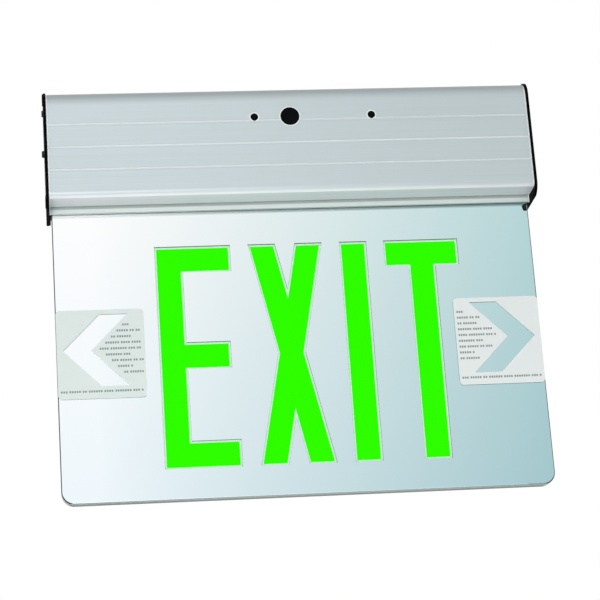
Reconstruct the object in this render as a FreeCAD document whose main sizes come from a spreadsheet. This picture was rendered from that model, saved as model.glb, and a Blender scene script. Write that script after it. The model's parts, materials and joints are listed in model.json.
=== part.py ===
# Edge-lit emergency exit sign: aluminium housing, hanging mirror panel, battery and test button.
# Frame: origin on the wall plane at the centre of the wiring entry, X along the sign, front faces -Y, Z up.

import FreeCAD, Part
import Sketcher
import math
import os

doc = FreeCAD.newDocument("ExitSign")

# Driving dimensions in millimetres, counts as plain numbers.
SIZES = [
    # housing extrusion
    ("housingLength", "333"), ("housingDepth", "46"), ("topHeight", "38.5"), ("undersideDrop", "39.7"),
    ("housingWall", "1.6"), ("topRadius", "11"), ("lowerRadius", "4"), ("rearGap", "0.3"),
    ("grooveCount", "3"), ("groovePitch", "16.4"), ("firstGroove", "25.8"), ("grooveWidth", "1"),
    ("grooveDepth", "0.45"), ("lipDrop", "5"), ("lipThick", "1.2"), ("lipGap", "0.7"),
    ("rootGrooveWidth", "1.4"), ("rootGrooveDepth", "0.8"),
    ("knockoutRadius", "11.1"), ("knockoutGroove", "0.8"), ("knockoutDepth", "0.4"),
    # screw ports in the extrusion
    ("portRadius", "3.2"), ("portSlot", "1.6"), ("portInset", "4.4"),
    ("middlePortDrop", "45.3"), ("topPortBack", "14"),
    # end caps
    ("capThick", "1.9"), ("capProud", "0.9"), ("capTopRadius", "11.5"), ("capFootRadius", "9"),
    ("capRearRadius", "5"), ("capLipCover", "0.4"), ("capFloor", "1"), ("padRise", "0.6"),
    ("padInset", "5.8"), ("padDepth", "9"), ("padHeight", "5"), ("footPadDepth", "12"),
    ("footPadLift", "4.1"), ("heelReach", "1"), ("tongueThick", "1.4"), ("tongueLength", "6"),
    ("tongueFoot", "13"), ("fitGap", "0.3"),
    ("capHoleRadius", "1.7"),
    # screws
    ("screwRadius", "1.45"), ("screwHoleRadius", "1.5"), ("headRadius", "2.75"), ("headHeight", "1.9"),
    ("headTaper", "0.7"), ("driveWidth", "0.7"), ("driveDepth", "0.9"), ("capScrewLength", "10"),
    ("plateScrewLength", "6"), ("shankSides", "12"),
    # back plate
    ("plateThick", "1.2"), ("topFlange", "10.3"), ("entryRadius", "11.1"), ("wallHoleSpacing", "88.9"),
    ("wallHoleRadius", "2.4"), ("plateScrewInset", "46"), ("plateScrewBack", "6.5"),
    # panel
    ("panelInset", "1.3"), ("panelSetback", "22"), ("mirrorThick", "2"), ("guideThick", "6"),
    ("filmThick", "0.4"), ("panelHang", "205.7"), ("panelTopInside", "20.6"), ("panelCorner", "8.5"),
    ("panelBevel", "0.8"),
    # letters
    ("letterHeight", "152.4"), ("letterStroke", "16"), ("letterWidth", "49"), ("letterGap", "14.6"),
    ("crossWidth", "47.8"), ("letterShift", "8.2"), ("letterDrop", "107.3"), ("middleArmCut", "3.4"),
    ("windowMargin", "1.4"), ("letterThick", "0.5"),
    # chevron templates
    ("templateWidth", "59"), ("templateHeight", "61.6"), ("templateCorner", "2.8"), ("templateThick", "0.7"),
    ("templateEdge", "0.3"), ("templateDrop", "104.1"), ("chevronReach", "25"), ("chevronStroke", "18.9"),
    ("chevronMargin", "4.2"), ("chevronRise", "2.6"),
    # panel channel, light strip and hangers
    ("channelWall", "1.5"), ("channelInset", "4.5"), ("channelSkirt", "2.2"), ("stripBoardThick", "1.6"),
    ("stripInset", "3"), ("ledCount", "16"), ("ledLength", "3.5"),
    ("ledWidth", "2.8"), ("ledHeight", "1.1"), ("lightGap", "0.5"), ("panelScrewInset", "46"),
    ("panelScrewDrop", "8"), ("hangerInset", "91"), ("hangerWidth", "24"), ("hangerThick", "1.5"),
    ("hangerLeg", "18"),
    # control board and what it carries
    ("boardGap", "8"), ("boardThick", "1.6"), ("boardInset", "114.5"), ("boardRight", "76"),
    ("boardBelow", "13.9"), ("boardAbove", "14.1"), ("railThick", "2.6"), ("railLip", "1.2"),
    ("railGroove", "1.1"), ("railPlay", "0.15"), ("controlDrop", "23.1"),
    ("buttonRadius", "6.4"), ("buttonHoleRadius", "6.6"), ("buttonProud", "0.9"), ("buttonFlange", "7.8"),
    ("flangeThick", "1.2"), ("flangeGap", "0.1"), ("buttonTravel", "2"), ("pressGap", "0.2"),
    ("switchSide", "6"), ("switchBody", "3.4"), ("plungerRadius", "1.7"),
    ("springRadius", "5.2"), ("springWire", "0.6"), ("springTurns", "4"), ("springSteps", "10"),
    ("springEndGap", "0.02"),
    ("chargeLampX", "-24.6"), ("statusLampX", "56.7"), ("lampRadius", "2.5"), ("lampHoleRadius", "2.7"),
    ("lampProud", "0.5"), ("lampBevel", "0.9"), ("lampFoot", "1.3"), ("holderSide", "6"),
    # battery, transformer and terminals
    ("cellRadius", "8.5"), ("cellLength", "43"), ("cellCount", "3"), ("batteryEnd", "74.5"),
    ("batteryBack", "13"), ("batteryDrop", "18.5"), ("clipThick", "0.8"), ("clipFlats", "16"),
    ("clipWidth", "9"), ("clipSpacing", "86"), ("clipMouth", "13.1"), ("clipOpening", "5.2"),
    ("gripGap", "0.05"),
    ("coreWidth", "42"), ("coreHeight", "35"), ("coreDepth", "15"), ("coreLimb", "7"), ("coreCentre", "14"),
    ("coreEnd", "44.5"), ("coreDrop", "26.5"), ("frameThick", "1.2"), ("frameTab", "9"), ("coilGap", "0.35"),
    ("coilSwell", "5"),
    ("blockX", "44"), ("blockDrop", "22.5"), ("blockWidth", "30"), ("blockHeight", "16"),
    ("blockDepth", "11"),
    ("wayCount", "3"), ("wayPitch", "9"), ("wayHalf", "2.1"), ("terminalScrewRadius", "1.9"),
    # leads
    ("leadRadius", "1.3"), ("leadBend", "5"), ("plugSide", "7"),
    ("batteryPlugReach", "11.5"), ("lightPlugX", "18"), ("relayX", "43"), ("relayWidth", "19"),
    ("relayHeight", "15"), ("partDepth", "11"), ("capacitorReach", "21"), ("capacitorPitch", "10"),
    ("capacitorRadius", "4"), ("chokeX", "65"), ("chokeRadius", "6"), ("chokeDepth", "8"),
]

sheet = doc.addObject("Spreadsheet::Sheet", "Sizes")
for row, (alias, number) in enumerate(SIZES, 1):
    sheet.set("A%d" % row, alias)
    sheet.set("B%d" % row, number)
    sheet.setAlias("B%d" % row, alias)
doc.recompute()

# Places that several pieces share, each worked out once from the sheet.
PLACES = {
    "top": "Sizes.topHeight",
    "underside": "(-Sizes.undersideDrop)",
    "front": "(-Sizes.housingDepth)",
    "innerFront": "(Sizes.housingWall - Sizes.housingDepth)",
    "innerTop": "(Sizes.topHeight - Sizes.housingWall)",
    "housingRear": "(-Sizes.rearGap)",
    "halfLength": "(Sizes.housingLength / 2)",
}
PLACES["panelReach"] = "(%(halfLength)s - Sizes.panelInset)" % PLACES
PLACES["channelReach"] = "(%(halfLength)s - Sizes.channelInset)" % PLACES
PLACES["batteryX"] = "(Sizes.batteryEnd - %(halfLength)s)" % PLACES
PLACES["batteryInnerEnd"] = "(%(batteryX)s + Sizes.cellCount * Sizes.cellLength / 2)" % PLACES
PLACES["batteryPlugX"] = "(%(batteryInnerEnd)s + Sizes.batteryPlugReach)" % PLACES
PLACES["capacitorX"] = "(%(batteryPlugX)s - Sizes.capacitorReach)" % PLACES
PLACES["boardLeft"] = "(Sizes.boardInset - %(halfLength)s)" % PLACES
PLACES["coreX"] = "(%(halfLength)s - Sizes.coreEnd)" % PLACES
PLACES["lipFoot"] = "(%(underside)s - Sizes.lipDrop)" % PLACES
PLACES["mirrorFront"] = "(%(front)s + Sizes.panelSetback)" % PLACES
PLACES["guideFront"] = "(%(mirrorFront)s + Sizes.mirrorThick)" % PLACES
PLACES["guideBack"] = "(%(guideFront)s + Sizes.guideThick)" % PLACES
PLACES["filmBack"] = "(%(guideBack)s + Sizes.filmThick)" % PLACES
PLACES["frontLip"] = "(%(mirrorFront)s - Sizes.lipGap)" % PLACES
PLACES["rearLip"] = "(%(filmBack)s + Sizes.lipGap)" % PLACES
PLACES["panelTop"] = "(%(underside)s + Sizes.panelTopInside)" % PLACES
PLACES["panelFoot"] = "(%(underside)s - Sizes.panelHang)" % PLACES
PLACES["letterMiddle"] = "(%(underside)s - Sizes.letterDrop)" % PLACES
PLACES["templateMiddle"] = "(%(underside)s - Sizes.templateDrop)" % PLACES
PLACES["stripFoot"] = "(%(panelTop)s + Sizes.lightGap + Sizes.ledHeight)" % PLACES
PLACES["channelCeiling"] = "(%(stripFoot)s + Sizes.stripBoardThick)" % PLACES
PLACES["channelTop"] = "(%(channelCeiling)s + Sizes.channelWall)" % PLACES
PLACES["channelFoot"] = "(%(underside)s + Sizes.channelSkirt)" % PLACES
PLACES["channelFront"] = "(%(mirrorFront)s - Sizes.fitGap)" % PLACES
PLACES["channelBack"] = "(%(filmBack)s + Sizes.fitGap)" % PLACES
PLACES["panelScrewZ"] = "(%(panelTop)s - Sizes.panelScrewDrop)" % PLACES
PLACES["boardFront"] = "(%(innerFront)s + Sizes.boardGap)" % PLACES
PLACES["boardBack"] = "(%(boardFront)s + Sizes.boardThick)" % PLACES
PLACES["flangeFront"] = "(%(innerFront)s + Sizes.flangeGap)" % PLACES
PLACES["flangeBack"] = "(%(flangeFront)s + Sizes.flangeThick)" % PLACES
PLACES["plungerTip"] = "(%(flangeBack)s + Sizes.buttonTravel + Sizes.pressGap)" % PLACES
PLACES["plateInner"] = "(-Sizes.plateThick)"
PLACES["batteryY"] = "(-Sizes.batteryBack)"
PLACES["batteryZ"] = "(%(top)s - Sizes.batteryDrop)" % PLACES
PLACES["coreZ"] = "(%(top)s - Sizes.coreDrop)" % PLACES
PLACES["blockZ"] = "(%(top)s - Sizes.blockDrop)" % PLACES
PLACES["middlePortZ"] = "(%(top)s - Sizes.middlePortDrop)" % PLACES
PLACES["controlZ"] = "(%(top)s - Sizes.controlDrop)" % PLACES
PLACES["boardLow"] = "(%(controlZ)s - Sizes.boardBelow)" % PLACES
PLACES["boardHigh"] = "(%(controlZ)s + Sizes.boardAbove)" % PLACES
PLACES["boardMiddle"] = "((%(boardLow)s + %(boardHigh)s) / 2)" % PLACES


def value(expression):
    return float(sheet.evalExpression(expression % PLACES))


def bind(thing, **expressions):
    for name, expression in expressions.items():
        thing.setExpression(name.replace("_", "."), expression % PLACES)


# Sketch and feature helpers.

def newBody(label):
    piece = doc.addObject("PartDesign::Body", label)
    piece.Label = label
    return piece


def newSketch(piece, plane, name, offset="0"):
    sketch = piece.newObject("Sketcher::SketchObject", name)
    support = [feature for feature in piece.Origin.OriginFeatures if feature.Role == plane][0]
    sketch.AttachmentSupport = [(support, "")]
    sketch.MapMode = "FlatFace"
    sketch.setExpression("AttachmentOffset.Base.z", offset % PLACES)
    return sketch


def pin(sketch, shape, point, across, up):
    # ties one point of a sketch to the origin by two driven distances
    for kind, expression in (("DistanceX", across), ("DistanceY", up)):
        made = sketch.addConstraint(Sketcher.Constraint(kind, -1, 1, shape, point, value(expression)))
        sketch.setExpression("Constraints[%d]" % made, expression % PLACES)


def addOutline(sketch, corners):
    # closed outline of straight edges through the given pairs of expressions
    first = sketch.GeometryCount
    spots = [FreeCAD.Vector(value(across), value(up), 0) for across, up in corners]
    for number, spot in enumerate(spots):
        sketch.addGeometry(Part.LineSegment(spot, spots[(number + 1) % len(spots)]))
    for number in range(len(spots)):
        after = first + (number + 1) % len(spots)
        sketch.addConstraint(Sketcher.Constraint("Coincident", first + number, 2, after, 1))
    for number, (across, up) in enumerate(corners):
        pin(sketch, first + number, 1, across, up)


def addBox(sketch, left, right, low, high):
    addOutline(sketch, [(left, low), (right, low), (right, high), (left, high)])


def addCircle(sketch, across, up, radius):
    centre = FreeCAD.Vector(value(across), value(up), 0)
    shape = sketch.addGeometry(Part.Circle(centre, FreeCAD.Vector(0, 0, 1), value(radius)))
    pin(sketch, shape, 3, across, up)
    made = sketch.addConstraint(Sketcher.Constraint("Radius", shape, value(radius)))
    sketch.setExpression("Constraints[%d]" % made, radius % PLACES)


def pad(piece, sketch, length, side="One side", backwards=False):
    feature = piece.newObject("PartDesign::Pad", sketch.Name + "Pad")
    feature.Profile = sketch
    feature.SideType = side
    feature.Reversed = backwards
    feature.setExpression("Length", length % PLACES)
    sketch.Visibility = False
    doc.recompute()
    return feature


def pocket(piece, sketch, length=None, side="One side", backwards=False):
    # a pocket that misses the solid changes nothing, so its volume is compared
    before = piece.Shape.Volume
    feature = piece.newObject("PartDesign::Pocket", sketch.Name + "Pocket")
    feature.Profile = sketch
    feature.SideType = side
    feature.Reversed = backwards
    if length is None:
        feature.Type = "ThroughAll"
    else:
        feature.setExpression("Length", length % PLACES)
    doc.recompute()
    if piece.Shape.Volume >= before - 1e-6:
        raise RuntimeError("pocket removes nothing: " + sketch.Name)
    return feature


def edgesAlong(piece, direction, test):
    # names of the straight edges along a direction whose middle passes the test
    names = []
    for number, edge in enumerate(piece.Shape.Edges, 1):
        if edge.Curve.TypeId != "Part::GeomLine":
            continue
        if abs(edge.tangentAt(edge.FirstParameter).dot(direction)) > 0.999:
            if test(edge.CenterOfMass):
                names.append("Edge%d" % number)
    return names


def dressEdges(piece, kind, name, sizeName, size, edges):
    # a fillet or chamfer on chosen edges of the body's tip
    if not edges:
        raise RuntimeError("no edges for " + name)
    base = piece.Tip
    feature = piece.newObject("PartDesign::" + kind, name)
    feature.Base = (base, edges)
    feature.setExpression(sizeName, size % PLACES)
    doc.recompute()
    return feature


def near(first, second, room=0.02):
    return abs(first - second) < room


alongX = FreeCAD.Vector(1, 0, 0)
alongY = FreeCAD.Vector(0, 1, 0)
alongZ = FreeCAD.Vector(0, 0, 1)


def roundAlongX(piece, name, size, spots):
    # rounds the edges that run along X through the given pairs (y, z) of expressions
    wanted = [(value(across), value(up)) for across, up in spots]
    edges = edgesAlong(piece, alongX, lambda at: any(near(at.y, y) and near(at.z, z) for y, z in wanted))
    return dressEdges(piece, "Fillet", name, "Radius", size, edges)


# Screws.

def screwBlank(name, head, length):
    # head on Z 0 and a plain shank below it; the shank is a prism, because every screw repeats it
    shank = doc.addObject("Part::Prism", name + "Shank")
    bind(shank, Circumradius="Sizes.screwRadius", Height=length)
    shank.Polygon = int(value("Sizes.shankSides"))
    shank.setExpression("Placement.Base.z", "-(%s)" % (length % PLACES))
    whole = doc.addObject("Part::Fuse", name + "Blank")
    whole.Base = shank
    whole.Tool = head
    return whole


def panHeadScrew(name, length):
    # round head with a bevelled rim and a slot
    head = doc.addObject("Part::Cone", name + "Head")
    bind(head, Radius1="Sizes.headRadius", Radius2="Sizes.headRadius - Sizes.headTaper",
         Height="Sizes.headHeight")
    slot = doc.addObject("Part::Box", name + "Slot")
    bind(slot, Length="Sizes.headRadius * 2", Width="Sizes.driveWidth", Height="Sizes.driveDepth",
         Placement_Base_x="-Sizes.headRadius", Placement_Base_y="-Sizes.driveWidth / 2",
         Placement_Base_z="Sizes.headHeight - Sizes.driveDepth")
    screw = doc.addObject("Part::Cut", name)
    screw.Base = screwBlank(name, head, length)
    screw.Tool = slot
    doc.recompute()
    return screw


def hexScrew(name, length):
    head = doc.addObject("Part::Prism", name + "Head")
    bind(head, Circumradius="Sizes.headRadius", Height="Sizes.headHeight")
    screw = screwBlank(name, head, length)
    doc.recompute()
    return screw


def groupOf(label, pattern, places):
    # several copies of one solid as one sub-part, each copy a placed solid of its own
    group = doc.addObject("Part::Feature", label)
    group.Label = label
    copies = []
    for at, turn in places:
        copy = pattern.Shape.copy()
        copy.Placement = FreeCAD.Placement(FreeCAD.Vector(*at), turn)
        copies.append(copy)
    group.Shape = Part.makeCompound(copies)
    group.Placement = FreeCAD.Placement()
    return group


upright = FreeCAD.Rotation()
outRight = FreeCAD.Rotation(alongY, 90)
outLeft = FreeCAD.Rotation(alongY, -90)
outFront = FreeCAD.Rotation(alongX, 90)
outBack = FreeCAD.Rotation(alongX, -90)


# Housing.

PORTS = [
    ("%(front)s + Sizes.portInset", "%(middlePortZ)s"),
    ("-Sizes.topPortBack", "%(top)s - Sizes.portInset"),
]
# the left cap is screwed to both ports, the right one to the upper port alone
CAP_PORTS = {-1: PORTS, 1: PORTS[1:]}


def housingOutline():
    # section of the extrusion: grooved front wall from the top down, groove along the root of the lip
    corners = [("%(housingRear)s", "%(top)s"), ("%(front)s", "%(top)s")]
    for number in range(int(value("Sizes.grooveCount"))):
        level = "%%(top)s - Sizes.firstGroove - %d * Sizes.groovePitch" % number
        corners += [
            ("%(front)s", level + " + Sizes.grooveWidth / 2"),
            ("%(front)s + Sizes.grooveDepth", level),
            ("%(front)s", level + " - Sizes.grooveWidth / 2"),
        ]
    rootFront = "%(frontLip)s - Sizes.lipThick - Sizes.rootGrooveWidth"
    corners += [
        ("%(front)s", "%(underside)s"),
        (rootFront, "%(underside)s"), (rootFront, "%(underside)s + Sizes.rootGrooveDepth"),
        ("%(frontLip)s - Sizes.lipThick", "%(underside)s + Sizes.rootGrooveDepth"),
        ("%(frontLip)s - Sizes.lipThick", "%(lipFoot)s"),
        ("%(frontLip)s", "%(lipFoot)s"),
        ("%(frontLip)s", "%(underside)s + Sizes.housingWall"),
        ("%(innerFront)s", "%(underside)s + Sizes.housingWall"),
        ("%(innerFront)s", "%(innerTop)s"),
        ("%(housingRear)s", "%(innerTop)s"),
    ]
    return corners


def makeHousing():
    piece = newBody("housing")
    section = newSketch(piece, "YZ_Plane", "HousingSection")
    addOutline(section, housingOutline())
    pad(piece, section, "Sizes.housingLength", "Symmetric")
    roundAlongX(piece, "TopEdge", "Sizes.topRadius", [("%(front)s", "%(top)s")])
    roundAlongX(piece, "TopEdgeInside", "Sizes.topRadius - Sizes.housingWall",
                [("%(innerFront)s", "%(innerTop)s")])
    roundAlongX(piece, "LowerEdge", "Sizes.lowerRadius", [("%(front)s", "%(underside)s")])
    roundAlongX(piece, "LowerEdgeInside", "Sizes.lowerRadius - Sizes.housingWall",
                [("%(innerFront)s", "%(underside)s + Sizes.housingWall")])
    ports = newSketch(piece, "YZ_Plane", "ScrewPorts")
    for across, up in PORTS:
        addCircle(ports, across, up, "Sizes.portRadius")
    pad(piece, ports, "Sizes.housingLength", "Symmetric")
    cores = newSketch(piece, "YZ_Plane", "PortCores")
    for across, up in PORTS:
        addCircle(cores, across, up, "Sizes.screwHoleRadius")
    pocket(piece, cores, "Sizes.housingLength", "Symmetric")
    slots = newSketch(piece, "YZ_Plane", "PortSlots")
    addBox(slots, PORTS[0][0], PORTS[0][0] + " + 2 * Sizes.portRadius",
           PORTS[0][1] + " - Sizes.portSlot / 2", PORTS[0][1] + " + Sizes.portSlot / 2")
    addBox(slots, PORTS[1][0] + " - Sizes.portSlot / 2", PORTS[1][0] + " + Sizes.portSlot / 2",
           PORTS[1][1] + " - 2 * Sizes.portRadius", PORTS[1][1])
    pocket(piece, slots, "Sizes.housingLength", "Symmetric")
    makeRails(piece)
    makeFaceHoles(piece)
    return piece


def makeRails(piece):
    # two rails with facing grooves in which the control board slides
    rails = newSketch(piece, "YZ_Plane", "BoardRails")
    root = "%(innerFront)s - Sizes.housingWall / 2"
    tip = "%(boardBack)s + Sizes.railLip"
    for edge, away in (("%(boardLow)s", "-"), ("%(boardHigh)s", "+")):
        toward = "+" if away == "-" else "-"
        face = "%s %s Sizes.railGroove" % (edge, toward)
        floor = edge if away == "-" else edge + " + Sizes.railPlay"
        outer = "%s %s Sizes.railThick" % (face, away)
        addOutline(rails, [
            (root, outer), (tip, outer), (tip, face),
            ("%(boardBack)s + Sizes.railPlay", face), ("%(boardBack)s + Sizes.railPlay", floor),
            ("%(boardFront)s - Sizes.railPlay", floor), ("%(boardFront)s - Sizes.railPlay", face),
            (root, face),
        ])
    pad(piece, rails, "Sizes.housingLength", "Symmetric")


def makeFaceHoles(piece):
    # button and lamp holes through the front wall, knockout ring scored in the top
    holes = newSketch(piece, "XZ_Plane", "FaceHoles")
    addCircle(holes, "0", "%(controlZ)s", "Sizes.buttonHoleRadius")
    addCircle(holes, "Sizes.chargeLampX", "%(controlZ)s", "Sizes.lampHoleRadius")
    addCircle(holes, "Sizes.statusLampX", "%(controlZ)s", "Sizes.lampHoleRadius")
    pocket(piece, holes, backwards=True)
    ring = newSketch(piece, "XY_Plane", "KnockoutRing", "%(top)s")
    addCircle(ring, "0", "%(front)s / 2", "Sizes.knockoutRadius")
    addCircle(ring, "0", "%(front)s / 2", "Sizes.knockoutRadius - Sizes.knockoutGroove")
    pocket(piece, ring, "Sizes.knockoutDepth")
    screws = newSketch(piece, "XY_Plane", "PlateScrewHoles", "%(top)s")
    for across in pairAt("Sizes.plateScrewInset"):
        addCircle(screws, across, "-Sizes.plateScrewBack", "Sizes.capHoleRadius")
    pocket(piece, screws, "2 * Sizes.housingWall")


def pairAt(inset):
    # places of a pair, each this far in from its own end of the housing
    return ["-(%(halfLength)s - " + inset + ")", "(%(halfLength)s - " + inset + ")"]


# Back plate.

def makeBackPlate():
    # folded sheet: top flange under the housing's top, wall, lower flange and a lip behind the panel
    piece = newBody("back_plate")
    section = newSketch(piece, "YZ_Plane", "PlateSection")
    addOutline(section, [
        ("0", "%(innerTop)s"), ("0", "%(underside)s"), ("%(rearLip)s + Sizes.plateThick", "%(underside)s"),
        ("%(rearLip)s + Sizes.plateThick", "%(lipFoot)s"), ("%(rearLip)s", "%(lipFoot)s"),
        ("%(rearLip)s", "%(underside)s + Sizes.plateThick"),
        ("%(plateInner)s", "%(underside)s + Sizes.plateThick"),
        ("%(plateInner)s", "%(innerTop)s - Sizes.plateThick"),
        ("-Sizes.topFlange", "%(innerTop)s - Sizes.plateThick"), ("-Sizes.topFlange", "%(innerTop)s"),
    ])
    pad(piece, section, "Sizes.housingLength - 2 * Sizes.fitGap", "Symmetric")
    roundAlongX(piece, "TopFold", "Sizes.plateThick", [("0", "%(innerTop)s")])
    roundAlongX(piece, "LowerFold", "Sizes.plateThick", [("0", "%(underside)s")])
    holes = newSketch(piece, "XZ_Plane", "WallHoles")
    addCircle(holes, "0", "0", "Sizes.entryRadius")
    for side in ("-", ""):
        addCircle(holes, side + "Sizes.wallHoleSpacing / 2", "0", "Sizes.wallHoleRadius")
    pocket(piece, holes, "2 * Sizes.plateThick", "Symmetric")
    flange = newSketch(piece, "XY_Plane", "FlangeHoles", "%(innerTop)s")
    for across in pairAt("Sizes.plateScrewInset"):
        addCircle(flange, across, "-Sizes.plateScrewBack", "Sizes.screwHoleRadius")
    pocket(piece, flange, "2 * Sizes.plateThick")
    return piece


# End caps.

def makeEndCap(label, side):
    # side is -1 for the left end and 1 for the right end
    piece = newBody(label)
    outwards = side > 0
    sign = "" if outwards else "-"
    seat = sign + "%(halfLength)s"
    outer = sign + "(%(halfLength)s + Sizes.capThick)"
    low = "%(lipFoot)s - Sizes.capLipCover"
    plate = newSketch(piece, "YZ_Plane", label + "Plate", seat)
    addOutline(plate, [
        ("%(front)s - Sizes.capProud", "%(top)s + Sizes.capProud"),
        ("%(front)s - Sizes.capProud", low), ("0", low), ("0", "%(top)s + Sizes.capProud"),
    ])
    pad(piece, plate, "Sizes.capThick", backwards=not outwards)
    roundAlongX(piece, label + "Crown", "Sizes.capTopRadius",
                [("%(front)s - Sizes.capProud", "%(top)s + Sizes.capProud")])
    roundAlongX(piece, label + "Foot", "Sizes.capFootRadius", [("%(front)s - Sizes.capProud", low)])
    roundAlongX(piece, label + "Rear", "Sizes.capRearRadius", [("0", low)])
    makeCapPads(piece, label, outer, low, outwards)
    makeCapTongues(piece, label, seat, outwards)
    makeCapHeels(piece, label, seat, low, outwards)
    holes = newSketch(piece, "YZ_Plane", label + "Holes", outer)
    for across, up in CAP_PORTS[side]:
        addCircle(holes, across, up, "Sizes.capHoleRadius")
    pocket(piece, holes, "2 * Sizes.capThick + 2 * Sizes.padRise", "Symmetric")
    wells = newSketch(piece, "YZ_Plane", label + "Wells", sign + "(%(halfLength)s + Sizes.capFloor)")
    addCircle(wells, PORTS[1][0], PORTS[1][1], "Sizes.headRadius + Sizes.fitGap")
    pocket(piece, wells, "Sizes.capThick + Sizes.padRise", backwards=outwards)
    return piece


def makeCapPads(piece, label, outer, low, outwards):
    # raised pads near the front of the outer face, inside the cap's rounded corners
    pads = newSketch(piece, "YZ_Plane", label + "Pads", outer)
    start, crown = "%(front)s + Sizes.padInset", "%(top)s - Sizes.capProud"
    foot = low + " + Sizes.footPadLift"
    addBox(pads, start, start + " + Sizes.padDepth", crown + " - Sizes.padHeight", crown)
    addBox(pads, start, start + " + Sizes.footPadDepth", foot, foot + " + Sizes.padHeight")
    pad(piece, pads, "Sizes.padRise", backwards=not outwards)


def makeCapTongues(piece, label, seat, outwards):
    # tongues that slide into the extrusion against its front, top and underside walls
    tongues = newSketch(piece, "YZ_Plane", label + "Tongues", seat)
    inner = "%(innerFront)s + Sizes.fitGap"
    addBox(tongues, inner, inner + " + Sizes.tongueThick",
           "%(underside)s + Sizes.tongueFoot", "%(middlePortZ)s - Sizes.portRadius - 2 * Sizes.fitGap")
    addBox(tongues, "%(front)s + Sizes.topRadius + Sizes.fitGap",
           "-Sizes.topPortBack - Sizes.portRadius - 2 * Sizes.fitGap",
           "%(innerTop)s - Sizes.fitGap - Sizes.tongueThick", "%(innerTop)s - Sizes.fitGap")
    addBox(tongues, "%(plateInner)s - Sizes.fitGap - Sizes.tongueThick", "%(plateInner)s - Sizes.fitGap",
           "%(underside)s + Sizes.tongueFoot", "%(middlePortZ)s")
    pad(piece, tongues, "Sizes.tongueLength", backwards=outwards)


def makeCapHeels(piece, label, seat, low, outwards):
    # short inward heels beside the panel, between the lips and behind the rear lip
    heels = newSketch(piece, "YZ_Plane", label + "Heels", seat)
    addBox(heels, "%(frontLip)s + Sizes.fitGap", "%(rearLip)s - Sizes.fitGap", low,
           "%(underside)s - Sizes.fitGap")
    addBox(heels, "%(rearLip)s + Sizes.plateThick + Sizes.fitGap", "-Sizes.capRearRadius", low,
           "%(underside)s - Sizes.fitGap")
    pad(piece, heels, "Sizes.heelReach", backwards=outwards)


# Panel.

def roundPanelCorners(piece, name):
    # the two lower corners of a sheet that hangs in the panel's outline
    reach, foot = value("%(panelReach)s"), value("%(panelFoot)s")
    edges = edgesAlong(piece, alongY, lambda at: near(abs(at.x), reach) and near(at.z, foot))
    dressEdges(piece, "Fillet", name, "Radius", "Sizes.panelCorner", edges)


def panelScrewHoles(piece, label):
    holes = newSketch(piece, "XZ_Plane", label + "ScrewHoles")
    for across in pairAt("Sizes.panelScrewInset"):
        addCircle(holes, across, "%(panelScrewZ)s", "Sizes.screwHoleRadius")
    pocket(piece, holes, backwards=True)


def makeSheet(label, front, thick):
    # one full-size sheet of the panel, front is its face towards the viewer
    piece = newBody(label)
    outline = newSketch(piece, "XZ_Plane", label + "Outline", "-(%s)" % front)
    addBox(outline, "-%(panelReach)s", "%(panelReach)s", "%(panelFoot)s", "%(panelTop)s")
    pad(piece, outline, thick, backwards=True)
    roundPanelCorners(piece, label + "Corners")
    return piece


def bevelRim(piece, name, depthOfFace):
    # bevels the outer edges of one broad face, all of them apart from the hidden top edge
    level, top = value(depthOfFace), value("%(panelTop)s")
    edges = []
    for number, edge in enumerate(piece.Shape.Edges, 1):
        at = edge.CenterOfMass
        if near(at.y, level) and near(edge.BoundBox.YLength, 0) and not near(at.z, top):
            edges.append("Edge%d" % number)
    dressEdges(piece, "Chamfer", name, "Size", "Sizes.panelBevel", edges)


def letterShapes(margin):
    # outlines of the four letters, grown all round by a margin; each is a list of closed outlines
    half = "(Sizes.letterHeight / 2)"
    top = "%%(letterMiddle)s + %s + %s" % (half, margin)
    foot = "%%(letterMiddle)s - %s - %s" % (half, margin)
    stroke = "Sizes.letterStroke"
    step = "Sizes.letterWidth + Sizes.letterGap"
    total = "(3 * (%s) + Sizes.letterStroke)" % step
    start = "Sizes.letterShift - %s / 2" % total
    eLeft = start
    xLeft = "%s + %s" % (start, step)
    iLeft = "%s + 2 * (%s)" % (start, step)
    tLeft = "%s + 2 * (%s) + Sizes.letterStroke + Sizes.letterGap" % (start, step)
    return {
        "letter_e": letterE(eLeft, top, foot, stroke, margin),
        "letter_x": letterX(xLeft, top, foot, stroke, margin),
        "letter_i": [[(iLeft + " - " + margin, foot), (iLeft + " + " + stroke + " + " + margin, foot),
                      (iLeft + " + " + stroke + " + " + margin, top), (iLeft + " - " + margin, top)]],
        "letter_t": letterT(tLeft, top, foot, stroke, margin),
    }


def letterE(left, top, foot, stroke, margin):
    low, right = "%s - %s" % (left, margin), "%s + Sizes.letterWidth + %s" % (left, margin)
    stem = "%s + %s + %s" % (left, stroke, margin)
    short = right + " - Sizes.middleArmCut"
    upper = "%s - %s - 2 * %s" % (top, stroke, margin)
    lower = "%s + %s + 2 * %s" % (foot, stroke, margin)
    middleTop = "%%(letterMiddle)s + %s / 2 + %s" % (stroke, margin)
    middleFoot = "%%(letterMiddle)s - %s / 2 - %s" % (stroke, margin)
    return [[(low, foot), (right, foot), (right, lower), (stem, lower), (stem, middleFoot),
             (short, middleFoot), (short, middleTop), (stem, middleTop), (stem, upper),
             (right, upper), (right, top), (low, top)]]


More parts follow.
